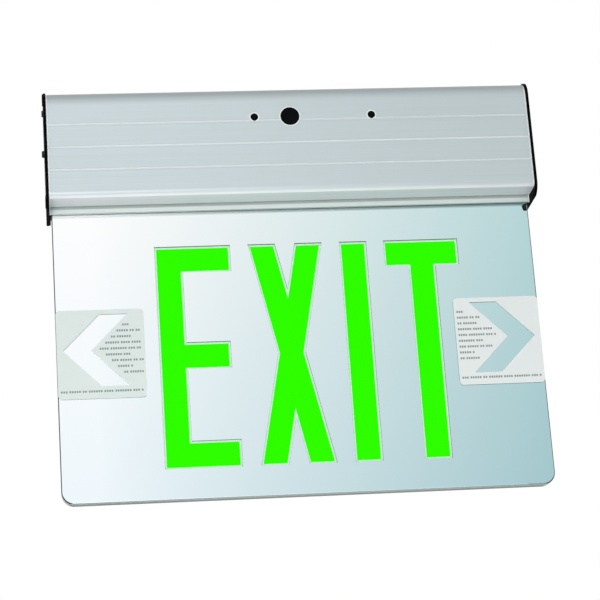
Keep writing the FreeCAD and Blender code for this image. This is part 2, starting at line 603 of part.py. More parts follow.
def letterX(left, top, foot, stroke, margin):
    # two crossing bars of constant width; slope is sideways travel for each millimetre of height
    slope = "((Sizes.crossWidth - %s) / Sizes.letterHeight)" % stroke
    wide = "(%s + 2 * %s)" % (stroke, margin)
    middle = "%s + Sizes.letterWidth / 2" % left
    rise = "(Sizes.letterHeight / 2 + %s)" % margin
    reach = "%s * %s" % (slope, rise)
    notch = "%s / 2 / %s" % (wide, slope)
    waist = "%s / 2" % wide
    return [[
        ("%s - %s - %s" % (middle, reach, waist), top), ("%s - %s + %s" % (middle, reach, waist), top),
        (middle, "%%(letterMiddle)s + %s" % notch),
        ("%s + %s - %s" % (middle, reach, waist), top), ("%s + %s + %s" % (middle, reach, waist), top),
        ("%s + %s" % (middle, waist), "%(letterMiddle)s"),
        ("%s + %s + %s" % (middle, reach, waist), foot), ("%s + %s - %s" % (middle, reach, waist), foot),
        (middle, "%%(letterMiddle)s - %s" % notch),
        ("%s - %s + %s" % (middle, reach, waist), foot), ("%s - %s - %s" % (middle, reach, waist), foot),
        ("%s - %s" % (middle, waist), "%(letterMiddle)s"),
    ]]


def letterT(left, top, foot, stroke, margin):
    low, right = "%s - %s" % (left, margin), "%s + Sizes.letterWidth + %s" % (left, margin)
    middle = "%s + Sizes.letterWidth / 2" % left
    stemLeft = "%s - %s / 2 - %s" % (middle, stroke, margin)
    stemRight = "%s + %s / 2 + %s" % (middle, stroke, margin)
    arm = "%s - %s - 2 * %s" % (top, stroke, margin)
    return [[(stemLeft, foot), (stemRight, foot), (stemRight, arm), (right, arm), (right, top),
             (low, top), (low, arm), (stemLeft, arm)]]


def makeMirrorFace():
    piece = makeSheet("mirror_face", "%(mirrorFront)s", "Sizes.mirrorThick")
    bevelRim(piece, "MirrorBevel", "%(mirrorFront)s")
    windows = newSketch(piece, "XZ_Plane", "LetterWindows")
    for outlines in letterShapes("Sizes.windowMargin").values():
        for corners in outlines:
            addOutline(windows, corners)
    pocket(piece, windows, backwards=True)
    panelScrewHoles(piece, "Mirror")
    return piece


def makeLightGuide():
    piece = makeSheet("light_guide", "%(guideFront)s", "Sizes.guideThick")
    bevelRim(piece, "GuideBevel", "%(guideBack)s")
    panelScrewHoles(piece, "Guide")
    return piece


def makeReflector():
    # thin white film, set in from the guide's bevelled rim and ending below the channel
    piece = newBody("rear_reflector")
    outline = newSketch(piece, "XZ_Plane", "ReflectorOutline", "-(%(guideBack)s)")
    reach = "(%(panelReach)s - 2 * Sizes.panelBevel)"
    addBox(outline, "-" + reach, reach, "%(panelFoot)s + 2 * Sizes.panelBevel",
           "%(channelFoot)s - Sizes.fitGap")
    pad(piece, outline, "Sizes.filmThick", backwards=True)
    half, foot = value(reach), value("%(panelFoot)s + 2 * Sizes.panelBevel")
    corners = edgesAlong(piece, alongY, lambda at: near(abs(at.x), half) and near(at.z, foot))
    dressEdges(piece, "Fillet", "ReflectorCorners", "Radius", "Sizes.panelCorner - 2 * Sizes.panelBevel",
               corners)
    return piece


def makeLetters():
    # green letters that stand on the light guide inside the mirror's windows
    for label, outlines in letterShapes("0").items():
        piece = newBody(label)
        outline = newSketch(piece, "XZ_Plane", label + "Outline", "-(%(guideFront)s)")
        for corners in outlines:
            addOutline(outline, corners)
        pad(piece, outline, "Sizes.letterThick")


def makeTemplate(label, side):
    # thin sheet on the mirror with a chevron cut out, pointing to its own side of the sign
    piece = newBody(label)
    sign = "-" if side < 0 else ""
    outer = "(%(panelReach)s - Sizes.templateEdge)"
    inner = "(%s - Sizes.templateWidth)" % outer
    sheetOutline = newSketch(piece, "XZ_Plane", label + "Outline", "-(%(mirrorFront)s)")
    low = "%(templateMiddle)s - Sizes.templateHeight / 2"
    high = "%(templateMiddle)s + Sizes.templateHeight / 2"
    addBox(sheetOutline, sign + inner, sign + outer, low, high)
    pad(piece, sheetOutline, "Sizes.templateThick")
    edges = edgesAlong(piece, alongY, lambda at: True)
    dressEdges(piece, "Fillet", label + "Corners", "Radius", "Sizes.templateCorner", edges)
    middle = "%(templateMiddle)s + Sizes.chevronRise"
    tip = "(%s - Sizes.chevronMargin)" % outer
    back = "(%s - Sizes.chevronReach)" % tip
    chevron = newSketch(piece, "XZ_Plane", label + "Chevron")
    addOutline(chevron, [
        (sign + tip, middle), (sign + back, middle + " + Sizes.chevronReach"),
        ("%s(%s - Sizes.chevronStroke)" % (sign, back), middle + " + Sizes.chevronReach"),
        ("%s(%s - Sizes.chevronStroke)" % (sign, tip), middle),
        ("%s(%s - Sizes.chevronStroke)" % (sign, back), middle + " - Sizes.chevronReach"),
        (sign + back, middle + " - Sizes.chevronReach"),
    ])
    pocket(piece, chevron, backwards=True)
    return piece


# Panel channel, light strip and hangers.

def makePanelChannel():
    piece = newBody("panel_channel")
    section = newSketch(piece, "YZ_Plane", "ChannelSection")
    front, back = "%(channelFront)s", "%(channelBack)s"
    addOutline(section, [
        (front + " - Sizes.channelWall", "%(channelFoot)s"), (front, "%(channelFoot)s"),
        (front, "%(channelCeiling)s"), (back, "%(channelCeiling)s"), (back, "%(channelFoot)s"),
        (back + " + Sizes.channelWall", "%(channelFoot)s"), (back + " + Sizes.channelWall", "%(channelTop)s"),
        (front + " - Sizes.channelWall", "%(channelTop)s"),
    ])
    pad(piece, section, "2 * %(channelReach)s", "Symmetric")
    holes = newSketch(piece, "XZ_Plane", "ChannelScrewHoles")
    for across in pairAt("Sizes.panelScrewInset"):
        addCircle(holes, across, "%(panelScrewZ)s", "Sizes.screwHoleRadius")
    pocket(piece, holes, backwards=True)
    taps = newSketch(piece, "XY_Plane", "HangerTaps", "%(channelTop)s")
    for across in pairAt("Sizes.hangerInset"):
        addCircle(taps, across, hangerScrewY(), "Sizes.screwHoleRadius")
    reach = "(Sizes.leadRadius + Sizes.fitGap)"
    addBox(taps, "Sizes.lightPlugX - " + reach, "Sizes.lightPlugX + " + reach,
           "%s - %s" % (hangerScrewY(), reach), "%s + %s" % (hangerScrewY(), reach))
    pocket(piece, taps, "Sizes.channelWall")
    return piece


def hangerScrewY():
    return "(%(channelFront)s + %(channelBack)s) / 2" % PLACES


def makeStripBoard():
    piece = newBody("led_strip_board")
    outline = newSketch(piece, "XY_Plane", "StripOutline", "%(stripFoot)s")
    half = "(%(channelReach)s - Sizes.stripInset)"
    addBox(outline, "-" + half, half, "%(channelFront)s + Sizes.fitGap", "%(channelBack)s - Sizes.fitGap")
    pad(piece, outline, "Sizes.stripBoardThick")
    return piece


def makeStripLeds():
    # LEDs in a row under the strip board, a lens face on each, shining into the panel's top edge
    package = doc.addObject("Part::Box", "LedPackage")
    bind(package, Length="Sizes.ledLength", Width="Sizes.ledWidth", Height="Sizes.ledHeight")
    count = int(value("Sizes.ledCount"))
    pitch = value("2 * (%(channelReach)s - Sizes.stripInset) / Sizes.ledCount")
    first = -(count - 1) * pitch / 2 - value("Sizes.ledLength / 2")
    middle = value("(%(guideFront)s + %(guideBack)s) / 2 - Sizes.ledWidth / 2")
    foot = value("%(stripFoot)s - Sizes.ledHeight")
    doc.recompute()
    spots = [((first + number * pitch, middle, foot), upright) for number in range(count)]
    return groupOf("strip_leds", package, spots)


def makeHanger(label, side):
    # angle bracket: one leg screwed to the channel, the other spot-welded to the back plate
    piece = newBody(label)
    sign = "-" if side < 0 else ""
    place = sign + "(%(halfLength)s - Sizes.hangerInset)"
    section = newSketch(piece, "YZ_Plane", label + "Section", place)
    addOutline(section, [
        ("%(plateInner)s", "%(channelTop)s"), ("%(plateInner)s", "%(channelTop)s + Sizes.hangerLeg"),
        ("%(plateInner)s - Sizes.hangerThick", "%(channelTop)s + Sizes.hangerLeg"),
        ("%(plateInner)s - Sizes.hangerThick", "%(channelTop)s + Sizes.hangerThick"),
        ("%(channelFront)s", "%(channelTop)s + Sizes.hangerThick"), ("%(channelFront)s", "%(channelTop)s"),
    ])
    pad(piece, section, "Sizes.hangerWidth", "Symmetric")
    roundAlongX(piece, label + "Bend", "Sizes.hangerThick",
                [("%(plateInner)s - Sizes.hangerThick", "%(channelTop)s + Sizes.hangerThick")])
    foot = newSketch(piece, "XY_Plane", label + "FootHole", "%(channelTop)s")
    addCircle(foot, place, hangerScrewY(), "Sizes.screwHoleRadius")
    pocket(piece, foot, "2 * Sizes.hangerThick", backwards=True)
    return piece


# Test button.

def makeTestButton():
    # turned about Y: dished cap in the face hole, flange behind the wall
    piece = newBody("test_button")
    profile = newSketch(piece, "XY_Plane", "ButtonProfile", "%(controlZ)s")
    tip = "%(front)s - Sizes.buttonProud"
    addOutline(profile, [
        ("0", tip), ("Sizes.buttonRadius", tip), ("Sizes.buttonRadius", "%(flangeFront)s"),
        ("Sizes.buttonFlange", "%(flangeFront)s"), ("Sizes.buttonFlange", "%(flangeBack)s"),
        ("0", "%(flangeBack)s"),
    ])
    turned = piece.newObject("PartDesign::Revolution", "ButtonTurned")
    turned.Profile = profile
    turned.ReferenceAxis = (profile, ["V_Axis"])
    turned.Angle = 360
    doc.recompute()
    rim = [number for number, edge in enumerate(piece.Shape.Edges, 1)
           if near(edge.CenterOfMass.y, value(tip)) and edge.Curve.TypeId == "Part::GeomCircle"]
    dressEdges(piece, "Chamfer", "ButtonRim", "Size", "Sizes.buttonProud / 2",
               ["Edge%d" % number for number in rim])
    return piece


def makeTestSwitch():
    # push switch on the board: square body with a round plunger under the button
    body = doc.addObject("Part::Box", "SwitchBody")
    bind(body, Length="Sizes.switchSide", Width="Sizes.switchBody", Height="Sizes.switchSide",
         Placement_Base_x="-Sizes.switchSide / 2", Placement_Base_y="%(boardFront)s - Sizes.switchBody",
         Placement_Base_z="%(controlZ)s - Sizes.switchSide / 2")
    plunger = doc.addObject("Part::Cylinder", "SwitchPlunger")
    bind(plunger, Radius="Sizes.plungerRadius",
         Height="%(boardFront)s - Sizes.switchBody / 2 - %(plungerTip)s",
         Placement_Base_y="%(boardFront)s - Sizes.switchBody / 2", Placement_Base_z="%(controlZ)s")
    plunger.Placement.Rotation = outFront
    switch = doc.addObject("Part::Fuse", "test_switch")
    switch.Label = "test_switch"
    switch.Base = body
    switch.Tool = plunger
    return switch


def hexagonAt(centre, direction, radius):
    # closed six-sided section square to a direction
    along = direction.normalize()
    level = along.cross(alongZ)
    across = (alongX if level.Length < 0.1 else level).normalize()
    up = across.cross(along)
    corners = [(math.cos(side * math.pi / 3), math.sin(side * math.pi / 3)) for side in range(7)]
    return Part.makePolygon([centre + across * (radius * a) + up * (radius * b) for a, b in corners])


def makeButtonSpring():
    # open coil round the switch, from the board to the button's flange; six-sided wire on a stepped helix
    radius, wire = value("Sizes.springRadius"), value("Sizes.springWire") / 2
    gap = wire + value("Sizes.springEndGap")
    length = value("%(boardFront)s") - value("%(flangeBack)s") - 2 * gap
    count = int(value("Sizes.springTurns * Sizes.springSteps"))
    turn = 2 * math.pi / value("Sizes.springSteps")
    path = [FreeCAD.Vector(radius * math.cos(turn * step), radius * math.sin(turn * step),
                           gap + length * step / count) for step in range(count + 1)]
    section = hexagonAt(path[0], path[1] - path[0], wire)
    sweep = Part.BRepOffsetAPI.MakePipeShell(Part.makePolygon(path))
    sweep.setTransitionMode(1)
    sweep.add(section)
    sweep.build()
    sweep.makeSolid()
    spring = doc.addObject("Part::Feature", "button_spring")
    spring.Label = "button_spring"
    spring.Shape = sweep.shape()
    start = FreeCAD.Vector(0, value("%(boardFront)s"), value("%(controlZ)s"))
    spring.Placement = FreeCAD.Placement(start, outFront)
    return spring


# Pilot lamps.

def makeLamp(label, across):
    # dark lens turned about Y, from its bevelled tip down to its holder
    piece = newBody(label)
    profile = newSketch(piece, "XY_Plane", label + "Profile", "%(controlZ)s")
    tip, foot = "%(front)s - Sizes.lampProud", "%(innerFront)s + Sizes.lampFoot"
    addOutline(profile, [
        (across, tip), (across + " + Sizes.lampRadius - Sizes.lampBevel", tip),
        (across + " + Sizes.lampRadius", tip + " + Sizes.lampBevel"), (across + " + Sizes.lampRadius", foot),
        (across, foot),
    ])
    turned = piece.newObject("PartDesign::Revolution", label + "Turned")
    turned.Profile = profile
    turned.ReferenceAxis = (profile, ["Edge5"])
    turned.Angle = 360
    doc.recompute()
    return piece


def makeLampHolders():
    # square spacers that carry the lamps off the board
    spacer = doc.addObject("Part::Box", "LampSpacer")
    side = "Sizes.holderSide"
    bind(spacer, Length=side, Width="%(boardFront)s - (%(innerFront)s + Sizes.lampFoot)", Height=side)
    doc.recompute()
    front = value("%(innerFront)s + Sizes.lampFoot")
    low = value("%(controlZ)s - Sizes.holderSide / 2")
    spots = [((value(across + " - Sizes.holderSide / 2"), front, low), upright)
             for across in ("Sizes.chargeLampX", "Sizes.statusLampX")]
    return groupOf("lamp_holders", spacer, spots)


# Control board.

def makeControlBoard():
    piece = newBody("control_board")
    outline = newSketch(piece, "XZ_Plane", "BoardOutline", "-(%(boardFront)s)")
    addBox(outline, "%(boardLeft)s", "Sizes.boardRight", "%(boardLow)s", "%(boardHigh)s")
    pad(piece, outline, "Sizes.boardThick", backwards=True)
    return piece


def solidBox(length, width, height, corner):
    return Part.makeBox(length, width, height, FreeCAD.Vector(*corner))


def makeBoardComponents():
    # relay, choke, two capacitors and the two lead sockets on the board's rear face
    rear, middle = value("%(boardBack)s"), value("%(boardMiddle)s")
    depth, side = value("Sizes.partDepth"), value("Sizes.plugSide")
    width, height = value("Sizes.relayWidth"), value("Sizes.relayHeight")
    relay = solidBox(width, depth, height, (value("Sizes.relayX") - width / 2, rear, middle - height / 2))
    centre = FreeCAD.Vector(value("Sizes.chokeX"), rear, middle)
    choke = Part.makeCylinder(value("Sizes.chokeRadius"), value("Sizes.chokeDepth"), centre, alongY)
    solids = [relay, choke]
    for way in (-1, 1):
        across = value("%(capacitorX)s") + way * value("Sizes.capacitorPitch") / 2
        solids.append(Part.makeCylinder(value("Sizes.capacitorRadius"), depth,
                                        FreeCAD.Vector(across, rear, middle), alongY))
    for across, up in (("%(batteryPlugX)s", "%(batteryZ)s"), ("Sizes.lightPlugX", str(middle))):
        solids.append(solidBox(side, side, side, (value(across) - side / 2, rear, value(up) - side / 2)))
    parts = doc.addObject("Part::Feature", "board_components")
    parts.Label = "board_components"
    parts.Shape = Part.makeCompound(solids)
    parts.Placement = FreeCAD.Placement()
    return parts


# Battery.

def makeBattery():
    # cell stick in one shrunk sleeve, lying along the sign
    piece = newBody("battery_pack")
    start = "%s - Sizes.cellCount * Sizes.cellLength / 2" % PLACES["batteryX"]
    section = newSketch(piece, "YZ_Plane", "BatterySection", start)
    addCircle(section, "%(batteryY)s", "%(batteryZ)s", "Sizes.cellRadius")
    pad(piece, section, "Sizes.cellCount * Sizes.cellLength")
    return piece


def makeBatteryClips():
    # spring clips folded from strip: open rings of flats round the battery, a foot on the back plate
    sides, thick = int(value("Sizes.clipFlats")), value("Sizes.clipThick")
    width, foot = value("Sizes.clipWidth"), value("-%(batteryY)s - Sizes.plateThick")
    inner = value("Sizes.cellRadius + Sizes.gripGap") / math.cos(math.pi / sides)
    rings = []
    for radius in (inner + thick, inner):
        corners = [FreeCAD.Vector(0, radius * math.cos(2 * math.pi * side / sides),
                                  radius * math.sin(2 * math.pi * side / sides)) for side in range(sides + 1)]
        rings.append(Part.Face(Part.makePolygon(corners)).extrude(FreeCAD.Vector(width, 0, 0)))
    outer, hollow = rings
    stem = solidBox(width, foot, inner, (0, 0, -inner / 2))
    mouth, start, reach = value("Sizes.clipMouth"), value("Sizes.clipOpening"), inner + 2 * thick
    gap = solidBox(width, reach - start, mouth, (0, -reach, -mouth / 2))
    pattern = doc.addObject("Part::Feature", "BatteryClip")
    pattern.Shape = outer.fuse(stem).cut(hollow).cut(gap).removeSplitter()
    spots = [((value("%(batteryX)s") + side * value("Sizes.clipSpacing") / 2 - width / 2,
               value("%(batteryY)s"), value("%(batteryZ)s")), upright) for side in (-1, 1)]
    return groupOf("battery_clips", pattern, spots)


# Transformer.

def makeTransformer():
    # laminated core with two windows, coil round its middle limb, frame with tabs on the back plate
    core = newBody("transformer_core")
    back = "-(Sizes.plateThick + Sizes.frameThick + Sizes.coilSwell)"
    face = newSketch(core, "XZ_Plane", "CoreFace", "-(%s)" % back)
    half, high = "Sizes.coreWidth / 2", "Sizes.coreHeight / 2"
    addBox(face, "%(coreX)s - " + half, "%(coreX)s + " + half, "%(coreZ)s - " + high,
           "%(coreZ)s + " + high)
    for way in ("-", "+"):
        inner = "%s %s Sizes.coreCentre / 2" % (PLACES["coreX"], way)
        outer = "%s %s (%s - Sizes.coreLimb)" % (PLACES["coreX"], way, half)
        addBox(face, inner, outer, "%(coreZ)s + Sizes.coreLimb - " + high,
               "%(coreZ)s - Sizes.coreLimb + " + high)
    pad(core, face, "Sizes.coreDepth")
    coil = newBody("transformer_coil")
    ring = newSketch(coil, "XY_Plane", "CoilRing", "%(coreZ)s")
    inner, outer = "(Sizes.coreCentre / 2 + Sizes.coilGap)", "(%s - Sizes.coreLimb - Sizes.coilGap)" % half
    rear, front = "%s + Sizes.coilGap" % back, "%s - Sizes.coreDepth - Sizes.coilGap" % back
    addBox(ring, "%(coreX)s - " + outer, "%(coreX)s + " + outer,
           front + " - Sizes.coilSwell + Sizes.coilGap", rear + " + Sizes.coilSwell - 2 * Sizes.coilGap")
    addBox(ring, "%(coreX)s - " + inner, "%(coreX)s + " + inner, front, rear)
    pad(coil, ring, "Sizes.coreHeight - 2 * Sizes.coreLimb - 2 * Sizes.coilGap", "Symmetric")
    roundOuterUprights(coil, "%(coreX)s", outer)
    return makeTransformerFrame(back)


def roundOuterUprights(piece, middle, reach):
    centre, half = value(middle), value(reach)
    edges = edgesAlong(piece, alongZ, lambda at: near(abs(at.x - centre), half))
    dressEdges(piece, "Fillet", "CoilCorners", "Radius", "Sizes.coilSwell / 2", edges)


def makeTransformerFrame(back):
    # channel over the core's ends with a tab at each side on the back plate
    frame = newBody("transformer_frame")
    outline = newSketch(frame, "XY_Plane", "FrameSection", "%(coreZ)s")
    side = "(Sizes.coreWidth / 2 + Sizes.fitGap / 3)"
    thick = "Sizes.frameThick"
    face = "%s - Sizes.coreDepth - Sizes.fitGap / 3" % back
    foot = "%(plateInner)s"
    outerSide = "(%s + %s)" % (side, thick)
    tab = "(%s + Sizes.frameTab)" % outerSide
    corners = [(tab, foot), (tab, foot + " - " + thick), (outerSide, foot + " - " + thick),
               (outerSide, face + " - " + thick)]
    inside = [(side, face), (side, foot)]
    right = [("%(coreX)s + " + across, up) for across, up in corners]
    left = [("%(coreX)s - " + across, up) for across, up in reversed(corners)]
    innerLeft = [("%(coreX)s - " + across, up) for across, up in reversed(inside)]
    innerRight = [("%(coreX)s + " + across, up) for across, up in inside]
    addOutline(outline, right + left + innerLeft + innerRight)
    pad(frame, outline, "Sizes.coreHeight - 4 * Sizes.fitGap", "Symmetric")
    window = newSketch(frame, "XZ_Plane", "FrameWindow")
    reach = "(Sizes.coreWidth / 2 - Sizes.coreLimb)"
    rise = "(Sizes.coreHeight / 2 - Sizes.coreLimb)"
    addBox(window, "%(coreX)s - " + reach, "%(coreX)s + " + reach,
           "%(coreZ)s - " + rise, "%(coreZ)s + " + rise)
    pocket(frame, window, backwards=True)
    return frame


# Supply terminals.

def wayOffsets():
    count = int(value("Sizes.wayCount"))
    return ["%g * Sizes.wayPitch" % (number - (count - 1) / 2) for number in range(count)]


def makeTerminalBlock():
    piece = newBody("terminal_block")
    outline = newSketch(piece, "XZ_Plane", "BlockOutline", "-(%(plateInner)s)")
    half, rise = "Sizes.blockWidth / 2", "Sizes.blockHeight / 2"
    addBox(outline, "Sizes.blockX - " + half, "Sizes.blockX + " + half,
           "%(blockZ)s - " + rise, "%(blockZ)s + " + rise)
    pad(piece, outline, "Sizes.blockDepth")
    wires = newSketch(piece, "XY_Plane", "WireWays", "%(blockZ)s")
    screws = newSketch(piece, "XZ_Plane", "ScrewWays", "-(%(plateInner)s - Sizes.blockDepth)")
    for offset in wayOffsets():
        way, level = "Sizes.blockX + " + offset, "%(blockZ)s + Sizes.blockHeight / 4"
        addBox(wires, way + " - Sizes.wayHalf", way + " + Sizes.wayHalf",
               "%(plateInner)s - Sizes.blockDepth / 2 - Sizes.wayHalf",
               "%(plateInner)s - Sizes.blockDepth / 2 + Sizes.wayHalf")
        addBox(screws, way + " - Sizes.wayHalf", way + " + Sizes.wayHalf",
               level + " - Sizes.wayHalf", level + " + Sizes.wayHalf")
    pocket(piece, wires, "2 * Sizes.blockHeight", "Symmetric")
    pocket(piece, screws, "Sizes.blockDepth / 4")
    return piece


def makeTerminalScrews():
    # clamp screws, each flush in its square well in the block
    head = doc.addObject("Part::Prism", "TerminalScrew")
    head.Polygon = int(value("Sizes.shankSides"))
    bind(head, Circumradius="Sizes.terminalScrewRadius", Height="Sizes.blockDepth / 4 - Sizes.fitGap / 2")
    doc.recompute()
    floor = value("%(plateInner)s - Sizes.blockDepth * 3 / 4")
    level = value("%(blockZ)s + Sizes.blockHeight / 4")
    spots = [((value("Sizes.blockX + " + offset), floor, level), outFront) for offset in wayOffsets()]
    return groupOf("terminal_screws", head, spots)


# Leads.

def leadSolid(points, radius, bend):
    # a lead along straight runs joined by tangent arcs, with a six-sided section to keep its mesh light
    edges, start = [], points[0]
    for number in range(1, len(points) - 1):
        corner = points[number]
        into = (corner - points[number - 1]).normalize()
        out = (points[number + 1] - corner).normalize()
        turn = into.getAngle(out)
        reach = bend * math.tan(turn / 2)
        begin, finish = corner - into * reach, corner + out * reach
        bisector = (out - into).normalize()
        middle = corner + bisector * (bend / math.cos(turn / 2) - bend)
        edges.append(Part.LineSegment(start, begin).toShape())
        edges.append(Part.Arc(begin, middle, finish).toShape())
        start = finish
    edges.append(Part.LineSegment(start, points[-1]).toShape())
    section = hexagonAt(points[0], points[1] - points[0], radius)
    return Part.Wire(edges).makePipeShell([section], True, False)


def makeLead(label, route):
    lead = doc.addObject("Part::Feature", label)
    lead.Label = label
    lead.Shape = leadSolid(route, value("Sizes.leadRadius"), value("Sizes.leadBend"))
    lead.Placement = FreeCAD.Placement()
    return lead


def makeBatteryLead():
    # from the battery's inner end straight out, then forward into its socket
    end, level, depth = value("%(batteryInnerEnd)s"), value("%(batteryZ)s"), value("%(batteryY)s")
    plugX, plugY = value("%(batteryPlugX)s"), value("%(boardBack)s + Sizes.plugSide")
    return makeLead("battery_lead", [
        FreeCAD.Vector(end, depth, level), FreeCAD.Vector(plugX, depth, level),
        FreeCAD.Vector(plugX, plugY, level),
    ])


def makeLightLead():
    # from the second socket down through the channel to the light strip's board
    plugX, plugY = value("Sizes.lightPlugX"), value("%(boardBack)s + Sizes.plugSide")
    level, depth = value("%(boardMiddle)s"), value(hangerScrewY())
    return makeLead("light_lead", [
        FreeCAD.Vector(plugX, plugY, level), FreeCAD.Vector(plugX, depth, level),
        FreeCAD.Vector(plugX, depth, value("%(channelCeiling)s")),
    ])


# Build.

def makeScrews():
    capScrew = panHeadScrew("CapScrew", "Sizes.capScrewLength")
    places = []
    for side, turn in ((-1, outLeft), (1, outRight)):
        for port in CAP_PORTS[side]:
            depth = "Sizes.capThick" if port is PORTS[0] else "Sizes.capFloor"
            seat = side * value("%(halfLength)s + " + depth)
            places.append(((seat, value(port[0]), value(port[1])), turn))
    groupOf("cap_screws", capScrew, places)
    plateScrew = panHeadScrew("PlateScrew", "Sizes.plateScrewLength")
    back, top = value("-Sizes.plateScrewBack"), value("%(top)s")
    groupOf("back_plate_screws", plateScrew,
            [((value(across), back, top), upright) for across in pairAt("Sizes.plateScrewInset")])
    panelScrew = hexScrew("PanelScrew", "%(channelBack)s - %(channelFront)s + 2 * Sizes.channelWall")
    face, level = value("%(channelFront)s - Sizes.channelWall"), value("%(panelScrewZ)s")
    groupOf("panel_screws", panelScrew,
            [((value(across), face, level), outFront) for across in pairAt("Sizes.panelScrewInset")])
    hangerScrew = hexScrew("HangerScrew", "Sizes.hangerThick + Sizes.channelWall")
    depth, level = value(hangerScrewY()), value("%(channelTop)s + Sizes.hangerThick")
    groupOf("hanger_screws", hangerScrew,
            [((value(across), depth, level), upright) for across in pairAt("Sizes.hangerInset")])


def buildAll():
    makeHousing()
    makeBackPlate()
    makeEndCap("end_cap_left", -1)
    makeEndCap("end_cap_right", 1)
    makeMirrorFace()
    makeLightGuide()
    makeReflector()
    makeLetters()
    makeTemplate("chevron_template_left", -1)
    makeTemplate("chevron_template_right", 1)
    makePanelChannel()
    makeStripBoard()
    makeStripLeds()
    makeHanger("hanger_left", -1)
    makeHanger("hanger_right", 1)
    makeTestButton()
    makeTestSwitch()
    makeButtonSpring()
    makeLamp("charge_lamp", "Sizes.chargeLampX")
    makeLamp("status_lamp", "Sizes.statusLampX")
    makeLampHolders()
    makeControlBoard()
    makeBoardComponents()
    makeBattery()
    makeBatteryClips()
    makeTransformer()
    makeTerminalBlock()
    makeTerminalScrews()
    makeBatteryLead()
    makeLightLead()
    makeScrews()


NODES = [
    "housing", "back_plate", "end_cap_left", "end_cap_right", "cap_screws", "back_plate_screws",
    "mirror_face", "light_guide", "rear_reflector", "letter_e", "letter_x", "letter_i", "letter_t",
    "chevron_template_left", "chevron_template_right", "panel_channel", "panel_screws",
    "led_strip_board", "strip_leds", "hanger_left", "hanger_right", "hanger_screws", "test_button",
    "test_switch", "button_spring", "charge_lamp", "status_lamp", "lamp_holders", "control_board",
    "board_components", "battery_pack", "battery_clips", "transformer_core", "transformer_coil",
    "transformer_frame", "terminal_block", "terminal_screws", "battery_lead", "light_lead",
]

buildAll()
doc.recompute()
for thing in doc.Objects:
    if "Invalid" in thing.State or "Error" in thing.State:
        raise RuntimeError("failed: %s %s" % (thing.Name, thing.State))
nodes = {name: doc.getObjectsByLabel(name)[0] for name in NODES}
for name, thing in nodes.items():
    if thing.Shape.isNull() or not thing.Shape.isValid() or not thing.Shape.Solids:
        raise RuntimeError("bad shape: " + name)
os.makedirs("parts", exist_ok=True)
for name, thing in nodes.items():
    thing.Shape.exportStep("parts/%s.step" % name)
    print(name, len(thing.Shape.Solids), "solids", round(thing.Shape.Volume), "mm3")
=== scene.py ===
import json
import math

import bmesh
import bpy
from mathutils import Matrix, Vector


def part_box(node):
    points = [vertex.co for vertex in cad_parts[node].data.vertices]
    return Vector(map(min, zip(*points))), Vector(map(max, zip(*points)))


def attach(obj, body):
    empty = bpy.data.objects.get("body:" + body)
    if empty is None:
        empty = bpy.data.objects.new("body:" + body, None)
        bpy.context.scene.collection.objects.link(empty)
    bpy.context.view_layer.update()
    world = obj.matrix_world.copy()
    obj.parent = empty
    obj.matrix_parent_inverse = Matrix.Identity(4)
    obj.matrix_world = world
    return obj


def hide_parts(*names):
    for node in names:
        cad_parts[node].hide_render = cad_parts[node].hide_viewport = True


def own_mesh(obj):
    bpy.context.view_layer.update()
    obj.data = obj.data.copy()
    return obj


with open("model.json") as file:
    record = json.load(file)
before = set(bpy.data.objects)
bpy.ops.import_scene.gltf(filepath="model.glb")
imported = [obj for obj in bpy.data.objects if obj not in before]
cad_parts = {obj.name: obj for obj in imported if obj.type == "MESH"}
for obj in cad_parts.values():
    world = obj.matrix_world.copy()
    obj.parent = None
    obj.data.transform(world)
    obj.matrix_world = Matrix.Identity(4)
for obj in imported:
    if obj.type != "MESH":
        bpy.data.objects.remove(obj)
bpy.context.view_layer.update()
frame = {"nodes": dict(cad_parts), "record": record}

nodes = frame["nodes"]
record = frame["record"]
scene = bpy.context.scene
print("frame loaded:", len(nodes), "nodes")


def middleOf(node):
    low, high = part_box(node)
    return (low + high) / 2


def rgb(red, green, blue):
    # screen colour from 0 to 255 as linear light
    def linear(part):
        part = part / 255
        return part / 12.92 if part <= 0.04045 else ((part + 0.055) / 1.055) ** 2.4
    return (linear(red), linear(green), linear(blue), 1.0)


def mathMethod(operation, swapped=False):
    # a method that joins a signal and another value in a Math node
    def join(self, other):
        first, second = (other, self) if swapped else (self, other)
        return self.graph.add("ShaderNodeMath", {"operation": operation}, {0: first, 1: second})
    return join


class Signal:
    # a shader socket that takes part in sums
    def __init__(self, graph, socket):
        self.graph = graph
        self.socket = socket

    __add__ = __radd__ = mathMethod("ADD")
    __mul__ = __rmul__ = mathMethod("MULTIPLY")
    __sub__, __rsub__ = mathMethod("SUBTRACT"), mathMethod("SUBTRACT", swapped=True)
    __truediv__, __rtruediv__ = mathMethod("DIVIDE"), mathMethod("DIVIDE", swapped=True)
    __pow__, __rpow__ = mathMethod("POWER"), mathMethod("POWER", swapped=True)
    most = mathMethod("MAXIMUM")
    fold = mathMethod("PINGPONG")

    def __abs__(self):
        return self.graph.add("ShaderNodeMath", {"operation": "ABSOLUTE"}, {0: self})

    def wave(self, pitch):
        # 0 to 1 and back over each pitch
        return self.fold(pitch / 2) * (2 / pitch)

    def rise(self, start, end):
        # 0 before start, 1 after end, smooth between; start may be the larger
        settings = {"interpolation_type": "SMOOTHSTEP"}
        return self.graph.add("ShaderNodeMapRange", settings, {0: self, 1: start, 2: end, 3: 0, 4: 1})

    def past(self, level, blend):
        # a rise whose start and end are measured from a level
        start, end = blend
        return self.rise(level + start, level + end)

    def about(self, middle, spread):
        # 0 to 1 becomes a spread with its middle at the given value
        return self * spread + (middle - spread / 2)


